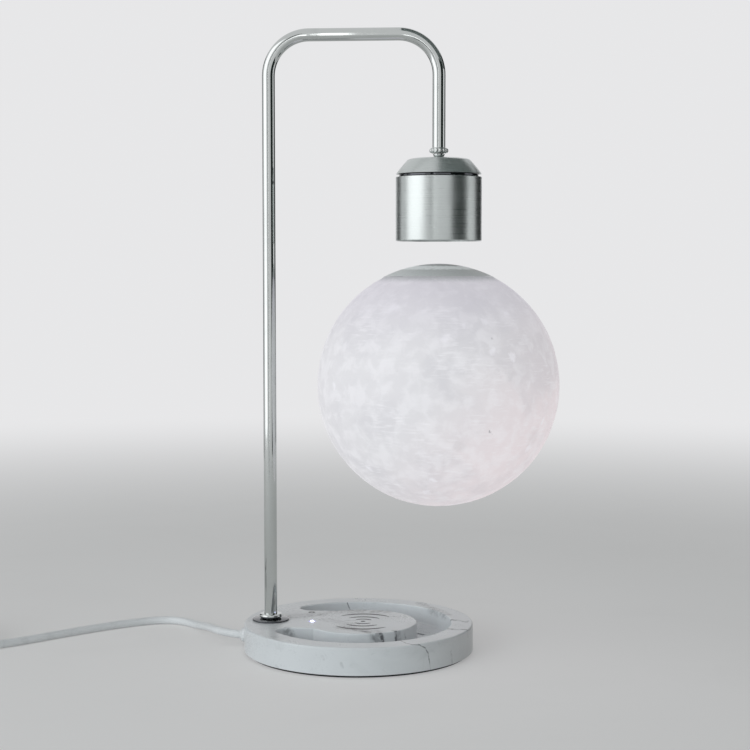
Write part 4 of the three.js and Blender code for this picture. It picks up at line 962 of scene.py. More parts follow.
def lay_floor(settings):
    body = Body()
    rings = [body.ring(circle(radius, FLOOR_HEIGHT, 64)) for radius in FLOOR_RADII]
    body.walls(*rings)
    body.fill(rings[0])
    mesh = body.mesh("table_top")
    floor = link(bpy.data.objects.new("table_top", mesh))
    if mesh.polygons[0].normal.z < 0:
        mesh.flip_normals()
    tree = Finish("pale_table", Specular_IOR_Level=0.0)
    grain = tree.effect("fine_grain", Scale=300.0, Depth=0.00001, Roughness=0.3, Spread=0.08)
    patches = tree.effect("soft_clouds", Scale=6.0)["Mask"]
    colour = settings.floor_colour
    mesh.materials.append(tree.paint(tree.mix(patches, colour, tone(colour, 0.97)), grain["Roughness"]))
    far = tree.ramp(tree.vector("LENGTH", tree.place, output=1), 0.35, 1.6, 0.38, 1.0)
    glow = tree.out("ShaderNodeEmission", {"Color": settings.backdrop_colour, "Strength": 1.0})
    feeds = {0: tree.times(far, sees_backdrop(tree)), 1: tree.shader.outputs["BSDF"], 2: glow}
    tree.feed(tree.end["Surface"], tree.out("ShaderNodeMixShader", feeds))


class LAMP_OT_set_stage(bpy.types.Operator):
    """Set the camera, the lights, the table top and the plain backdrop"""

    bl_idname = "lamp.set_stage"
    bl_label = "Set Stage"

    def execute(self, context):
        scene, settings = context.scene, context.scene.lamp_stage
        camera = link(bpy.data.objects.new("camera", bpy.data.cameras.new("camera")))
        camera.data.sensor_width, camera.data.lens = CAMERA_SENSOR, CAMERA_LENS
        camera.location, camera.rotation_euler = CAMERA_PLACE, CAMERA_TURN
        scene.camera = camera
        for name, place, target, size, setting, share, colour, in_metal in LIGHTS:
            power = getattr(settings, setting) * share
            soft_box(name, place, target, size, power, colour, in_metal)
        for card in CARDS:
            reflector(*card)
        light_world(scene, settings)
        lay_floor(settings)
        scene.view_settings.view_transform = "Standard"
        return {"FINISHED"}


# Cord

GLAND_AZIMUTH = math.pi - 0.06
GLAND_HEIGHT = 7.4
GLAND_REACH = 3.5
GLAND_BORE, GLAND_NECK = 2.62, 3.5
CORD_START = 1.2

# The cord's free stretch, as in the solid model
ROUTE = (
    (-80.2, 5, 7.9), (-85.8, 6.8, 8.3), (-90.6, 10.4, 8.4), (-94.2, 15.4, 8.1), (-97.2, 21.2, 7.5),
    (-100.2, 27.4, 6.6), (-103.4, 33.8, 5.6), (-107, 40.4, 4.5), (-111, 47, 3.5), (-115.6, 53.2, 2.8),
    (-121.4, 58.8, 2.6), (-128.8, 62.4, 2.6), (-137.4, 62.6, 2.6), (-147, 59, 2.6), (-158, 51.8, 2.6),
    (-171, 41, 2.6), (-186, 26.6, 2.6), (-198, 14.2, 2.6), (-210, 1.2, 2.6), (-222, -11.2, 2.8),
    (-232, -21.2, 3.4),
)
COIL_X, COIL_Y = -276.0, -12.0
COIL_INNER_RADIUS = 20.5
COIL_PITCH = 5.7
COIL_HEIGHT = 4.0
COIL_TURNS = 6.42
MIDDLE_TURN = 3
COIL_START = -math.pi / 4
TURN_STEPS = 24
LEAD_IN = (10.7, 5.2)
TAIL_LENGTH = 24
TAIL = ((0.25, 0.04), (0.45, 0.4), (0.65, 0.85), (0.8, 1), (1, 1))
PLUG_HEIGHT = 5.1

# The straps' inside and outside: near, far, low and high side and corner, from the coil's centre
STRAP_INSIDE, STRAP_OUTSIDE = (17.4, 43.1, 0.9, 12.8, 3.0), (16.6, 43.9, 0.1, 13.6, 3.8)
STRAP_HALF_WIDTH = 2.5
# The share of its width that is flat, and the share of its thickness that the edges take
STRAP_FLAT, STRAP_EASE = 0.94, 0.25

# Along the plug from the cord's end: its boot with ribs, its grip with grooves and its barrel
BOOT_END, RIB_COUNT, RIB_PITCH = 12.3, 7, 1.6
GRIP_RADIUS, GROOVE_RADIUS = 4.8, 4.4
GROOVE_COUNT, GROOVE_START, GROOVE_PITCH = 6, 17.5, 2.2
BARREL_BORE, BARREL_RADIUS, BARREL_END = 1.05, 2.75, 44.4


def gland_point(out):
    reach = BASE_RADIUS + out
    return Vector((reach * math.cos(GLAND_AZIMUTH), reach * math.sin(GLAND_AZIMUTH), GLAND_HEIGHT))


def coil_point(turn):
    """In along the floor, up a layer round the middle turn, and out again."""
    radius = COIL_INNER_RADIUS + COIL_PITCH * abs(turn - MIDDLE_TURN)
    share = min(max((turn - MIDDLE_TURN + 0.25) / 0.5, 0), 1)
    climb = share * share * (3 - 2 * share)
    angle = COIL_START - FULL_TURN * turn
    x = COIL_X + radius * math.cos(angle)
    y = COIL_Y + radius * math.sin(angle)
    return Vector((x, y, COIL_HEIGHT + COIL_PITCH * climb))


def coil_heading(turn):
    angle = COIL_START - FULL_TURN * turn
    return Vector((math.sin(angle), -math.cos(angle), 0))


def cord_points():
    """The cord's centreline from inside the gland to the plug."""
    into = [coil_point(0) - coil_heading(0) * distance for distance in LEAD_IN]
    count = math.ceil(COIL_TURNS * TURN_STEPS) + 1
    loops = [coil_point(min(i / TURN_STEPS, COIL_TURNS)) for i in range(count)]
    last, heading = coil_point(COIL_TURNS), coil_heading(COIL_TURNS)
    tail = []
    for along, drop in TAIL:
        point = last + heading * TAIL_LENGTH * along
        point.z = last.z + (PLUG_HEIGHT - last.z) * drop
        tail.append(point)
    return [gland_point(CORD_START), gland_point(GLAND_REACH), *map(Vector, ROUTE), *into, *loops, *tail]


def cable(radius):
    curve = bpy.data.curves.new("power_cable", "CURVE")
    curve.dimensions = "3D"
    curve.resolution_u = 5
    curve.bevel_depth = radius
    curve.bevel_resolution = 6
    curve.use_fill_caps = True
    points = cord_points()
    spline = curve.splines.new("BEZIER")
    spline.bezier_points.add(len(points) - 1)
    for knot, point in zip(spline.bezier_points, points):
        knot.co = point * MM
        knot.handle_left_type = knot.handle_right_type = "AUTO"
    return piece("power_cable", curve, "jacket", "stand", "cord_plastic", "power_cord", "power_cord_coil")


def box_outline(left, right, low, high, round_by, steps=6):
    """Points round a box with rounded corners, as (across, up)."""
    points = []
    corners = ((right, high, 0), (left, high, 1), (left, low, 2), (right, low, 3))
    for across, up, quarter in corners:
        x = across - round_by if across == right else across + round_by
        y = up - round_by if up == high else up + round_by
        first = QUARTER_TURN * quarter
        points += arc_points(x, y, round_by, first, first + QUARTER_TURN, steps)
    return points


def strap(number):
    """A rubber strap round the coil, with its edges eased."""
    azimuth = math.pi / 3 + (number - 1) * math.pi
    out = Vector((math.cos(azimuth), math.sin(azimuth), 0))
    side = Vector((-out.y, out.x, 0)) * STRAP_HALF_WIDTH
    centre, up = Vector((COIL_X, COIL_Y, 0)), Vector((0, 0, 1))
    body, rings = Body(), []
    for pair in zip(box_outline(*STRAP_INSIDE), box_outline(*STRAP_OUTSIDE)):
        near, far = (centre + out * across + up * height for across, height in pair)
        flat, edge = side * STRAP_FLAT, (far - near) * STRAP_EASE
        left = [near - flat, near - side + edge, far - side - edge, far - flat]
        right = [far + flat, far + side - edge, near + side + edge, near + flat]
        rings.append(body.ring(left + right))
    body.walls(*rings)
    body.wall(rings[-1], rings[0])
    name = f"strap_{number}"
    return piece(name, body.mesh(name), "strap", "stand", "tie_rubber", f"cord_tie_{number}")


def plug():
    """The plug with its ribbed boot, at the cord's end."""
    heading = coil_heading(COIL_TURNS).to_track_quat("Z", "Y").to_matrix().to_4x4()
    move = Matrix.Translation(cord_points()[-1] * MM) @ heading
    core = softened([(0, -1.5), (2.8, -1.5, 0.3), (3.6, BOOT_END, 0.5), (0, BOOT_END)])
    rib = softened([(2.4, -0.5), (4.15, -0.5, 0.3), (4.15, 0.5, 0.3), (2.4, 0.5)], 2)
    start, small = turned("boot_core", core, 40), turned("boot_rib", rib, 28)
    rows = {"count": RIB_COUNT, "first_height": RIB_PITCH * MM, "step": RIB_PITCH * MM}
    rows.update(first_size=0.78, last_size=1.0)
    place = ("jacket", "stand", "cord_plastic", ["cord_plug_boot"])
    pieces = [repeated("plug_boot", row_of_ribs(), start, small, *place, move=move, **rows)]
    grip = [(0, BOOT_END), (3.7, BOOT_END, 0.4), (GRIP_RADIUS, 14.2, 0.8)]
    groove = ((GRIP_RADIUS, 0.0), (GROOVE_RADIUS, 0.4), (GROOVE_RADIUS, 1.0), (GRIP_RADIUS, 1.4))
    for i in range(GROOVE_COUNT):
        low = GROOVE_START + GROOVE_PITCH * i
        grip += [(radius, low + rise, 0.15) for radius, rise in groove]
    grip += [(GRIP_RADIUS, 33.4, 0.8), (3.9, 34.6, 0.4), (0, 34.6)]
    barrel = [(BARREL_BORE, 33.8), (BARREL_RADIUS, 33.8), (BARREL_RADIUS, BARREL_END, 0.35)]
    barrel += [(1.6, BARREL_END, 0.2), (BARREL_BORE, BARREL_END - 0.8)]
    lining = [(0.75, 36.0), (1.04, 36.0), (1.04, 43.2, 0.1), (0.75, 43.2, 0.1)]
    for name, profile, steps, sides, finish, slot, *nodes in (
        ("plug_grip", grip, 3, 56, "jacket", "cord_plastic", "cord_plug_body"),
        ("plug_barrel", barrel, 3, 48, "plug", "plug_metal", "cord_plug_barrel"),
        ("plug_lining", lining, 2, 32, "black", "black_plastic"),
    ):
        profile = softened(profile, steps)
        pieces.append(turned_piece(name, profile, sides, (0, 0), finish, slot, *nodes, move=move))
    return pieces


def gland():
    """The sleeve that the cord leaves the base through."""
    profile = [(GLAND_BORE, -4.5), (GLAND_NECK, -4.5, 0.2), (GLAND_NECK, 0.3), (4.7, 0.3, 0.3)]
    profile += [(4.7, 1.4, 0.4), (4.35, 2.4, 0.4), (4.1, GLAND_REACH, 0.7)]
    profile.append((GLAND_BORE, GLAND_REACH, 0.35))
    facing_out = Matrix.Rotation(GLAND_AZIMUTH, 4, "Z") @ Matrix.Rotation(QUARTER_TURN, 4, "Y")
    move = Matrix.Translation(gland_point(0) * MM) @ facing_out
    place = ("gland", "cord_plastic", "cable_gland")
    turned_piece("cable_sleeve", softened(profile), 64, (0, 0), *place, move=move)


class LAMP_OT_lay_cord(bpy.types.Operator):
    """Lay the cord with its gland, coil, straps and plug"""

    bl_idname = "lamp.lay_cord"
    bl_label = "Lay Cord"

    def execute(self, context):
        settings = context.scene.lamp_cord
        whole = cable(settings.diameter / 2)
        straps = [strap(number) for number in (1, 2)]
        end = plug()
        gland()
        return {"FINISHED"}


# Base

TRAY_RADIUS = 58.0
TRAY_FLOOR = 7.3
PAD_RADIUS = 34.9
PAD_X = 1.5
BRIDGE_FRONT = 21.2
BRIDGE_BACK = 29.5
BRIDGE_ROUND = 8.0
RIM_ROUND = 1.2
FOOT_CHAMFER = 0.3
SHELL_WALL = 2.5
FLOOR_UNDERSIDE = 5.8
SKIN_UNDERSIDE = 15.7
POST_HOLE, PIPE_HOLE = 4.3, 1.25
SLOT_CORNERS = ((-3.5, -1.3), (3.5, -1.3), (3.5, 1.3), (-3.5, 1.3))
SLOT_PLACE, SLOT_TURN = (38.2, 14.0), -0.72
BASE_SIDES = 224
CORNER_STEPS, TRAY_STEPS, PAD_STEPS = 16, 150, 110
PRINT = (BASE_TOP - 0.02, BASE_TOP + 0.03)
# The charging mark's dot, its arcs (radius, half their spread and width) and their thin ends
MARK_X, MARK_Y, DOT_RADIUS = 2.8, -0.6, 1.5
MARK_ARCS = ((6.4, 0.9, 1.9), (13.0, 0.85, 2.2), (21.3, 0.82, 2.4))
MARK_TIP, MARK_STEPS = 0.04, 30
TOUCH_PLACE, TOUCH_INNER, TOUCH_OUTER = (-32.3, 23.4), 0.95, 2.15


def tray_outline(grow):
    """The tray's outline: a channel round the pad that stops at the bridge, widened all round."""
    outer, inner, corner = TRAY_RADIUS + grow, PAD_RADIUS - grow, BRIDGE_ROUND + grow
    front, back = grow - BRIDGE_FRONT, BRIDGE_BACK - grow
    front_y, back_y = front - corner, back + corner
    front_x, back_x = (-math.sqrt((outer - corner) ** 2 - y**2) for y in (front_y, back_y))
    front_turn = math.atan2(front_y, front_x) + FULL_TURN
    back_turn = math.atan2(back_y, back_x)
    pad_front, pad_back = (math.atan2(y, -math.sqrt(inner**2 - y**2)) for y in (front, back))
    return [
        *arc_points(front_x, front_y, corner, QUARTER_TURN, front_turn, CORNER_STEPS),
        *arc_points(0, 0, outer, front_turn, back_turn + FULL_TURN, TRAY_STEPS)[1:],
        *arc_points(back_x, back_y, corner, back_turn, 3 * QUARTER_TURN, CORNER_STEPS)[1:],
        *arc_points(PAD_X, 0, inner, pad_back, pad_front, PAD_STEPS),
    ]


def stone_base(edge, fillet):
    """The shell with its rim, tray, bridge and pad, hollow from below."""
    body = Body()
    quarter = steps_of(0, QUARTER_TURN, 5)
    side = [(BASE_RADIUS - FOOT_CHAMFER, SHELL_BOTTOM), (BASE_RADIUS, SHELL_BOTTOM + FOOT_CHAMFER)]
    for turn in quarter:
        reach = BASE_RADIUS - RIM_ROUND * (1 - math.cos(turn))
        side.append((reach, BASE_TOP - RIM_ROUND * (1 - math.sin(turn))))
    side = [body.ring(circle(radius, height, BASE_SIDES)) for radius, height in side]
    body.walls(*side)
    tray = [(edge * (1 - math.sin(turn)), BASE_TOP - edge * (1 - math.cos(turn))) for turn in quarter]
    for turn in quarter:
        tray.append((-fillet * (1 - math.cos(turn)), TRAY_FLOOR + fillet * (1 - math.sin(turn))))
    tray = [body.ring([(x, y, height) for x, y in tray_outline(grow)]) for grow, height in tray]
    body.walls(*tray)
    post = body.shaft(circle(POST_HOLE, 0, 48, POST_X), BASE_TOP, SKIN_UNDERSIDE)
    pipe = body.shaft(circle(PIPE_HOLE, 0, 32, *INDICATOR), BASE_TOP, SKIN_UNDERSIDE)
    turn_slot = Matrix.Rotation(SLOT_TURN, 2)
    corners = [turn_slot @ Vector(corner) + Vector(SLOT_PLACE) for corner in SLOT_CORNERS]
    slot = body.shaft(corners, TRAY_FLOOR, FLOOR_UNDERSIDE)
    body.fill(side[-1], tray[0], post[0], pipe[0])
    body.fill(tray[-1], slot[0])
    inside = body.shaft(circle(BASE_RADIUS - SHELL_WALL, 0, BASE_SIDES), SHELL_BOTTOM, SKIN_UNDERSIDE)
    pocket = body.shaft(tray_outline(SHELL_WALL), SKIN_UNDERSIDE, FLOOR_UNDERSIDE)
    body.wall(side[0], inside[0])
    body.fill(inside[1], pocket[0], post[1], pipe[1])
    body.fill(pocket[1], slot[1])
    base = piece("stone_base", body.mesh("stone_base"), "stone", "stand", "marble_look", "base_shell")
    weighted = base.modifiers.new("Flat Faces", "WEIGHTED_NORMAL")
    weighted.keep_sharp = True
    weighted.weight = 90


def charging_mark():
    """A plain sign for a charging place: a dot between pairs of arcs."""
    body = Body()
    body.plate(circle(DOT_RADIUS, 0, 28, MARK_X, MARK_Y), *PRINT)
    for radius, half, width in MARK_ARCS:
        for facing in (QUARTER_TURN, -QUARTER_TURN):
            swings = steps_of(-1, 1, MARK_STEPS)
            reaches = [MARK_TIP + width * (1 - abs(swing) ** 4) / 2 for swing in swings]
            outer = [(radius + reach, swing) for reach, swing in zip(reaches, swings)]
            inner = [(radius - reach, swing) for reach, swing in zip(reaches, swings)]
            outline = []
            for reach, swing in [*outer, *inner[::-1]]:
                turn = facing + half * swing
                outline.append((MARK_X + reach * math.cos(turn), MARK_Y + reach * math.sin(turn)))
            body.plate(outline, *PRINT)
    piece("charging_mark", body.mesh("charging_mark"), "print", "stand", "black_plastic")


def touch_mark():
    """A small printed ring, where a fingertip rests."""
    low, high = PRINT
    profile = [(TOUCH_INNER, low), (TOUCH_OUTER, low), (TOUCH_OUTER, high), (TOUCH_INNER, high)]
    turned_piece("touch_mark", profile, 48, TOUCH_PLACE, "print", "black_plastic")


def indicator():
    """The domed end of the light pipe."""
    low, high, radius = reach_of("indicator_light_pipe")[2:]
    turns = steps_of(0, QUARTER_TURN, 8)[:-1]
    dome = [(radius * math.cos(turn), BASE_TOP + (high - BASE_TOP) * math.sin(turn)) for turn in turns]
    profile = [(0, low), (radius, low), *dome, (0, high)]
    place = ("indicator", "clear_plastic", "indicator_light_pipe")
    turned_piece("indicator_lens", profile, 32, INDICATOR, *place)


class LAMP_OT_shape_base(bpy.types.Operator):
    """Shape the stone base with its tray, and print its marks"""

    bl_idname = "lamp.shape_base"
    bl_label = "Shape Base"

    def execute(self, context):
        settings = context.scene.lamp_base
        stone_base(settings.edge_round / MM, settings.floor_round / MM)
        charging_mark()
        touch_mark()
        indicator()
        dress("foot", "foot_pad")
        dress("black", "base_bottom_plate")
        return {"FINISHED"}


# Arch and head

ARCH_HEIGHT = CAD_HIGH.z / MM - 4.0
BEND_RADIUS = 25.0
BEND_STEPS = 24
POST_RINGS = (60.0, 180.0, 300.0)
TUBE_WALL = 0.8
TUBE_SIDES = 56
RING_BORE = 4.1
COLLAR_RADIUS = 7.1
HOUSING_WALL = 1.6
HOUSING_MOUTH = 12.0
CAP_WALL = 1.5
CAP_HOLE = 2.4
# The cap's shoulder and the rim of its flat top, and the shares that its two curves swell to
SHOULDER_RADIUS, SHOULDER_RISE, TOP_RADIUS = 19.4, 8.3, 5.0
SIDE_SWELL, CROWN_SWELL = 0.895, 0.955
NECK_BORE, NECK_RADIUS = 1.5, 2.1
BEAD_RADIUS, BEAD_HALF, BEAD_DEPTH = 0.95, 1.35, 0.75


def tube_section(station, radius):
    """A ring across the tube; the lean turns it from level to upright and over."""
    x, height, lean = station
    ring = []
    for across, y, _ in circle(radius, 0, TUBE_SIDES):
        ring.append((x + across * math.cos(lean), y, height - across * math.sin(lean)))
    return ring


def arch_tube(radius):
    bottom, end = reach_of("arch_tube")[2], reach_of("head_ring_nut")[2]
    bend_height = ARCH_HEIGHT - BEND_RADIUS
    stations = [(POST_X, height, 0.0) for height in (bottom, *POST_RINGS)]
    for centre, first in ((POST_X + BEND_RADIUS, math.pi), (HEAD_X - BEND_RADIUS, QUARTER_TURN)):
        for turn in steps_of(first, first - QUARTER_TURN, BEND_STEPS):
            x = centre + BEND_RADIUS * math.cos(turn)
            stations.append((x, bend_height + BEND_RADIUS * math.sin(turn), math.pi - turn))
    stations.append((HEAD_X, end, math.pi))
    body = Body()
    outside = [body.ring(tube_section(station, radius)) for station in stations]
    inside = [body.ring(tube_section(station, radius - TUBE_WALL)) for station in stations]
    body.walls(*outside)
    body.walls(*inside)
    for i in (0, -1):
        body.wall(outside[i], inside[i])
    piece("arch", body.mesh("arch"), "chrome", "stand", "chrome_tube", "arch_tube")


class LAMP_OT_bend_arch(bpy.types.Operator):
    """Bend the chrome tube and turn its flange and collar"""

    bl_idname = "lamp.bend_arch"
    bl_label = "Bend Arch"

    def execute(self, context):
        arch_tube(context.scene.lamp_metals.tube_radius / MM)
        flange = [(POST_HOLE, FLANGE_BOTTOM), (FLANGE_RADIUS, FLANGE_BOTTOM, 0.15)]
        flange += [(FLANGE_RADIUS, FLANGE_BOTTOM + 0.6, 0.25), (COLLAR_RADIUS, FLANGE_TOP, 0.2)]
        flange = softened([*flange, (POST_HOLE, FLANGE_TOP)])
        turned_piece("flange", flange, 96, POST, "dark_chrome", "dark_chrome", "post_flange")
        low, high = reach_of("foot_collar")[2:4]
        bulge = (high - low) / 2
        side = arc_points(COLLAR_RADIUS - bulge, (low + high) / 2, bulge, -QUARTER_TURN, QUARTER_TURN, 14)
        collar = [(RING_BORE, low), *side, (RING_BORE, high)]
        turned_piece("collar", collar, 96, POST, "chrome", "chrome_tube", "foot_collar")
        dress("steel", "tube_lock_nut")
        dress("wire", "tube_wiring")
        return {"FINISHED"}


def cap_side(inset, side_steps, crown_steps):
    """The cap's side from its lower edge over the shoulder to the almost flat top."""
    low, high, radius = reach_of("head_cap")[2:]
    edge = Vector((radius - inset, low))
    shoulder = Vector((SHOULDER_RADIUS - inset / 2, low + SHOULDER_RISE - inset))
    swell = Vector((edge.x * SIDE_SWELL, (edge.y + shoulder.y) / 2))
    crown = Vector((shoulder.x * CROWN_SWELL, high - inset))
    top = Vector((TOP_RADIUS, high - inset))
    side = [bend(edge, swell, shoulder, i / side_steps) for i in range(side_steps + 1)]
    return side + [bend(shoulder, crown, top, i / crown_steps) for i in range(1, crown_steps + 1)]


def ring_nut(count):
    """The ring nut with its beads."""
    low, high, radius = reach_of("head_ring_nut")[2:]
    waist = radius - BEAD_DEPTH
    core = [(RING_BORE, low), (radius - 1.5, low, 0.2), (waist, low + 0.7, 0.3)]
    core += [(waist, high - 0.7, 0.3), (radius - 1.3, high, 0.2), (RING_BORE, high, 0.1)]
    turns = steps_of(-QUARTER_TURN, QUARTER_TURN, 8)[1:-1]
    oval = [(BEAD_RADIUS * math.cos(turn), BEAD_HALF * math.sin(turn)) for turn in turns]
    bead = turned("bead", [(0, -BEAD_HALF), *oval, (0, BEAD_HALF)], 12)
    start = turned("nut_core", softened(core, 3), 72, HEAD)
    centre = (HEAD_X * MM, HEAD_Y * MM, (low + high) / 2 * MM)
    place = ("chrome", "stand", "chrome_tube", ["head_ring_nut"])
    ring = {"count": count, "ring_radius": (radius - BEAD_RADIUS) * MM, "centre": centre}
    repeated("ring_nut", ring_of_copies(), start, bead, *place, **ring)


class LAMP_OT_turn_head(bpy.types.Operator):
    """Turn the magnet head: cap, housing, spacer, coupling and beaded ring nut"""

    bl_idname = "lamp.turn_head"
    bl_label = "Turn Head"

    def execute(self, context):
        cap_high = reach_of("head_cap")[3]
        hole = [(CAP_HOLE, cap_high), (CAP_HOLE, cap_high - CAP_WALL)]
        cap = [*cap_side(0, 16, 10), *hole, *cap_side(CAP_WALL, 10, 6)[::-1]]
        inner, under = HOUSING_RADIUS - HOUSING_WALL, HOUSING_TOP - HOUSING_WALL
        housing = [(inner, HOUSING_BOTTOM, 0.2), (HOUSING_RADIUS, HOUSING_BOTTOM, 0.8)]
        housing += [(HOUSING_RADIUS, HOUSING_TOP, 0.5), (HOUSING_MOUTH, HOUSING_TOP, 0.3)]
        housing += [(HOUSING_MOUTH, under), (inner, under)]
        low, high, radius = reach_of("head_spacer_ring")[2:]
        spacer = [(radius - 2, low), (radius, low, 0.2), (radius, high, 0.2), (radius - 2, high)]
        low, high, radius = reach_of("head_coupling")[2:]
        coupling = [(NECK_BORE, low), (NECK_RADIUS, low)]
        for turn in steps_of(0, QUARTER_TURN, 10):
            reach = NECK_RADIUS + (radius - NECK_RADIUS) * math.sin(turn)
            coupling.append((reach, high - (high - cap_high - 0.3) * math.cos(turn)))
        coupling.append((NECK_BORE, high))
        housing, spacer = softened(housing, 5), softened(spacer)
        turned_piece("cap", cap, 144, HEAD, "aluminium", "satin_aluminium", "head_cap")
        turned_piece("housing", housing, 144, HEAD, "aluminium", "satin_aluminium", "head_housing")
        # The spacer takes the dark chrome as painted shade for the dark gap between the cap and the housing.
        turned_piece("spacer", spacer, 128, HEAD, "dark_chrome", "chrome_tube", "head_spacer_ring")
        turned_piece("coupling", coupling, 72, HEAD, "chrome", "chrome_tube", "head_coupling")
        ring_nut(context.scene.lamp_metals.bead_count)
        dress("black", "head_bottom_cover")
        return {"FINISHED"}


# Globe

GLOBE_WALL = 2.0
LID_HOLE = 16.3
SEAM_GAP = 0.3
LID_DROP, POLE_DROP = 0.05, 0.02
MOON_COLUMNS, MOON_ROWS = 288, 150


def globe_arc(radius, first, last, steps):
    """Points on a circle about the globe's centre between two heights above it."""
    turns = steps_of(math.asin(first / radius), math.asin(last / radius), steps)
    return [(radius * math.cos(turn), GLOBE_HEIGHT + radius * math.sin(turn)) for turn in turns]


def outwards(mesh):
    """Turns a closed mesh's faces outwards."""
    bm = bmesh.new()
    bm.from_mesh(mesh)
    if bm.calc_volume(signed=True) < 0:
        bmesh.ops.reverse_faces(bm, faces=bm.faces)
    bm.to_mesh(mesh)
    bm.free()


class LAMP_OT_form_globe(bpy.types.Operator):
    """Form the floating globe with its relief, its lid and its pole cap"""

    bl_idname = "lamp.form_globe"
    bl_label = "Form Globe"

    def execute(self, context):
        settings = context.scene.lamp_globe
        seam, inner = SHELL_HIGH - GLOBE_HEIGHT, GLOBE_RADIUS - GLOBE_WALL
        mesh = baked(
            "moon",
            moon_tree(),
            bpy.data.meshes.new("moon_start"),
            outer_radius=GLOBE_RADIUS * MM,
            inner_radius=inner * MM,
            outer_seam=math.asin(seam / GLOBE_RADIUS),
            inner_seam=math.asin(seam / inner),
            relief=settings.relief,
            seed=float(settings.seed),
            columns=MOON_COLUMNS,
            rows=MOON_ROWS,
            centre=tuple(value * MM for value in GLOBE),
            material=MATERIALS["moon"],
        )
        outwards(mesh)
        piece("moon", mesh, None, "moon", "moon_plastic", "moon_shell")
        outer_top, inner_top = (math.sqrt(radius**2 - LID_HOLE**2) for radius in (GLOBE_RADIUS, inner))
        lid = globe_arc(GLOBE_RADIUS - LID_DROP, seam + SEAM_GAP, outer_top, 12)
        lid += globe_arc(inner, seam + SEAM_GAP, inner_top, 8)[::-1]
        turned_piece("lid", lid, 160, HEAD, "lid", "moon_plastic", "moon_lid", body="moon")
        low, _, radius = reach_of("pole_cap")[2:]
        edge = math.sqrt(GLOBE_RADIUS**2 - radius**2)
        reach = GLOBE_RADIUS - POLE_DROP
        dome = globe_arc(reach, edge - 0.1, reach - 0.001, 8)[:-1]
        pole = [(0, low), (radius, low), *dome, (0, GLOBE_HEIGHT + reach)]
        turned_piece("pole", pole, 96, HEAD, "lid", "moon_plastic", "pole_cap", body="moon")
        return {"FINISHED"}


# Fasteners and hidden parts

SCREW_SIDES = 32
THREAD_PITCH, THREAD_WIDTH, THREAD_DEPTH, THREAD_GAP = 0.55, 0.4, 0.16, 0.3

# Floor and mouth of the cross recess: height in the head's thickness, reach and arm in its radius
RECESS = ((0.75, 0.3, 0.1), (0.0, 0.62, 0.2))


def cross(size, arm):
    """The outline of a cross recess."""
    points = []
    for i in range(SCREW_SIDES):
        turn = FULL_TURN * i / SCREW_SIDES
        c, s = abs(math.cos(turn)) + 1e-6, abs(math.sin(turn)) + 1e-6
        reach = max(min(size / c, arm / s), min(arm / c, size / s))
        points.append((reach * math.cos(turn), reach * math.sin(turn)))
    return points


def screw_mesh(head, thickness, shank, length, flipped):
    """A screw with a rounded head, a cross recess and a threaded shank; the head is at the bottom."""
    body = Body()
    recess = [
        body.ring([(x, y, thickness * height) for x, y in cross(head * reach, head * arm)])
        for height, reach, arm in RECESS
    ]
    body.fill(recess[0])
    body.walls(*recess)
    profile = [(head * 0.9, 0), (head, thickness * 0.2), (head, thickness), (shank, thickness)]
    height = thickness + THREAD_GAP
    while height < length - 2 * THREAD_GAP:
        crest = (shank + THREAD_DEPTH, height + THREAD_WIDTH / 2)
        profile += [(shank, height), crest, (shank, height + THREAD_WIDTH)]
        height += THREAD_PITCH
    profile += [(shank, length - THREAD_GAP), (shank * 0.5, length)]
    rings = [recess[-1], *(body.ring(circle(radius, up, SCREW_SIDES)) for radius, up in profile)]
    body.walls(*rings)
    body.fill(rings[-1])
    return body.mesh("screw", move=Matrix.Rotation(math.pi, 4, "X") if flipped else None)


class LAMP_OT_fit_screws(bpy.types.Operator):
    """Fit the three rings of screws"""

    bl_idname = "lamp.fit_screws"
    bl_label = "Fit Screws"

    def execute(self, context):
        tree = ring_of_copies()
        for stem, x, head, thickness, shank, flipped, body in (
            ("base_screw", 0.0, 2.6, 1.2, 1.25, False, "stand"),
            ("head_screw", HEAD_X, 2.2, 1.2, 1.2, True, "stand"),
            ("moon_screw", HEAD_X, 1.9, 1.1, 1.0, False, "moon"),
        ):
            name, nodes = stem + "s", [f"{stem}_{i}" for i in (1, 2, 3)]
            first_x, first_y, low, high, _ = reach_of(nodes[0])
            small = screw_mesh(head, thickness, shank, high - low, flipped)
            ring = {"count": 3, "ring_radius": math.hypot(first_x - x, first_y) * MM}
            ring["first_turn"] = math.atan2(first_y, first_x - x)
            ring["centre"] = (x * MM, 0, (high if flipped else low) * MM)
            start = bpy.data.meshes.new(name + "_start")
            repeated(name, tree, start, small, "steel", body, "steel", nodes, **ring)
        return {"FINISHED"}


HIDDEN_FINISHES = {
    "steel": "ballast_plate cap_lock_nut magnet_bracket",
    "copper": "charging_coil power_sender_coil magnet_winding power_receiver_coil touch_sensor_plate",
    "board": "main_circuit_board position_sensor_board receiver_board",
    "white": "power_connector arch_connector magnet_bobbin magnet_holder light_board",
    "black": "position_sensor",
    "ferrite": "ferrite_shield",
    "iron": "magnet_core",
    "magnet": "levitation_magnet",
    "stem": "light_stem",
    "diode": "light_diode indicator_diode",
    "wire": "power_lead",
}


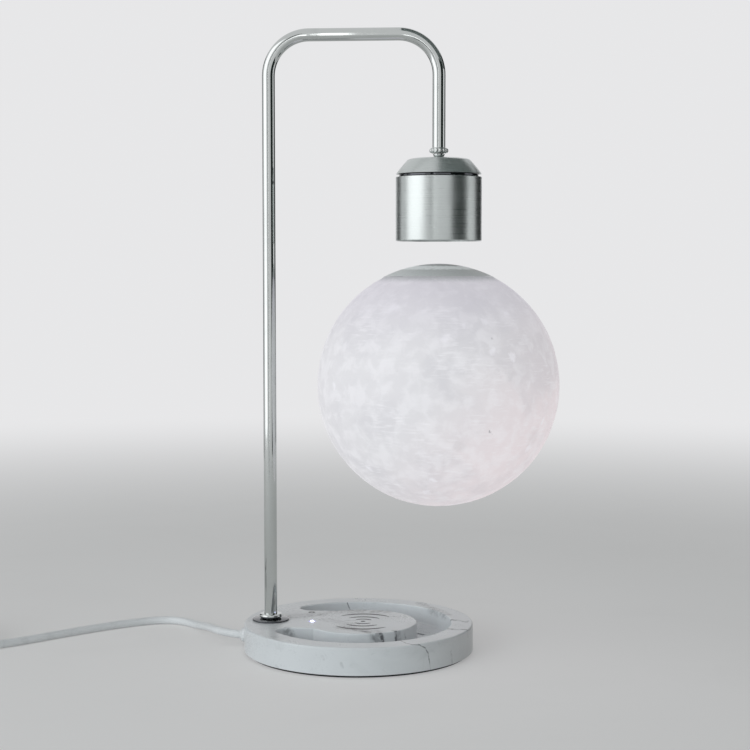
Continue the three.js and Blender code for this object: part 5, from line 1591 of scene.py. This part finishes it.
class LAMP_OT_finish_inside(bpy.types.Operator):
    """Give the parts inside the base, the head and the globe their finishes"""

    bl_idname = "lamp.finish_inside"
    bl_label = "Finish Inside"

    def execute(self, context):
        for finish, names in HIDDEN_FINISHES.items():
            dress(finish, names)
        return {"FINISHED"}


# Panel


class LAMP_PT_build(bpy.types.Panel):
    """Lists the lamp's pieces and their settings"""

    bl_idname = "LAMP_PT_build"
    bl_label = "Levitation Lamp"
    bl_space_type = "VIEW_3D"
    bl_region_type = "UI"
    bl_category = "Lamp"

    def draw(self, context):
        for operator, owner in STEPS:
            box = self.layout.box()
            box.operator(operator.bl_idname)
            for key in getattr(owner, "__annotations__", {}):
                box.prop(getattr(context.scene, SETTINGS[owner]), key)


SETTINGS = {
    StageSettings: "lamp_stage",
    CordSettings: "lamp_cord",
    BaseSettings: "lamp_base",
    MetalSettings: "lamp_metals",
    GlobeSettings: "lamp_globe",
}
STEPS = (
    (LAMP_OT_set_stage, StageSettings),
    (LAMP_OT_lay_cord, CordSettings),
    (LAMP_OT_shape_base, BaseSettings),
    (LAMP_OT_bend_arch, MetalSettings),
    (LAMP_OT_turn_head, None),
    (LAMP_OT_form_globe, GlobeSettings),
    (LAMP_OT_fit_screws, None),
    (LAMP_OT_finish_inside, None),
)


def register():
    for settings, name in SETTINGS.items():
        bpy.utils.register_class(settings)
        setattr(bpy.types.Scene, name, PointerProperty(type=settings))
    for operator, _ in STEPS:
        bpy.utils.register_class(operator)
    bpy.utils.register_class(LAMP_PT_build)


def unregister():
    bpy.utils.unregister_class(LAMP_PT_build)
    for operator, _ in reversed(STEPS):
        bpy.utils.unregister_class(operator)
    for settings, name in SETTINGS.items():
        delattr(bpy.types.Scene, name)
        bpy.utils.unregister_class(settings)


def main():
    register()
    build_groups()
    build_materials(bpy.context.scene)
    bpy.ops.lamp.set_stage()
    bpy.ops.lamp.lay_cord()
    bpy.ops.lamp.shape_base()
    bpy.ops.lamp.bend_arch()
    bpy.ops.lamp.turn_head()
    bpy.ops.lamp.form_globe()
    bpy.ops.lamp.fit_screws()
    bpy.ops.lamp.finish_inside()


if __name__ == "__main__":
    main()
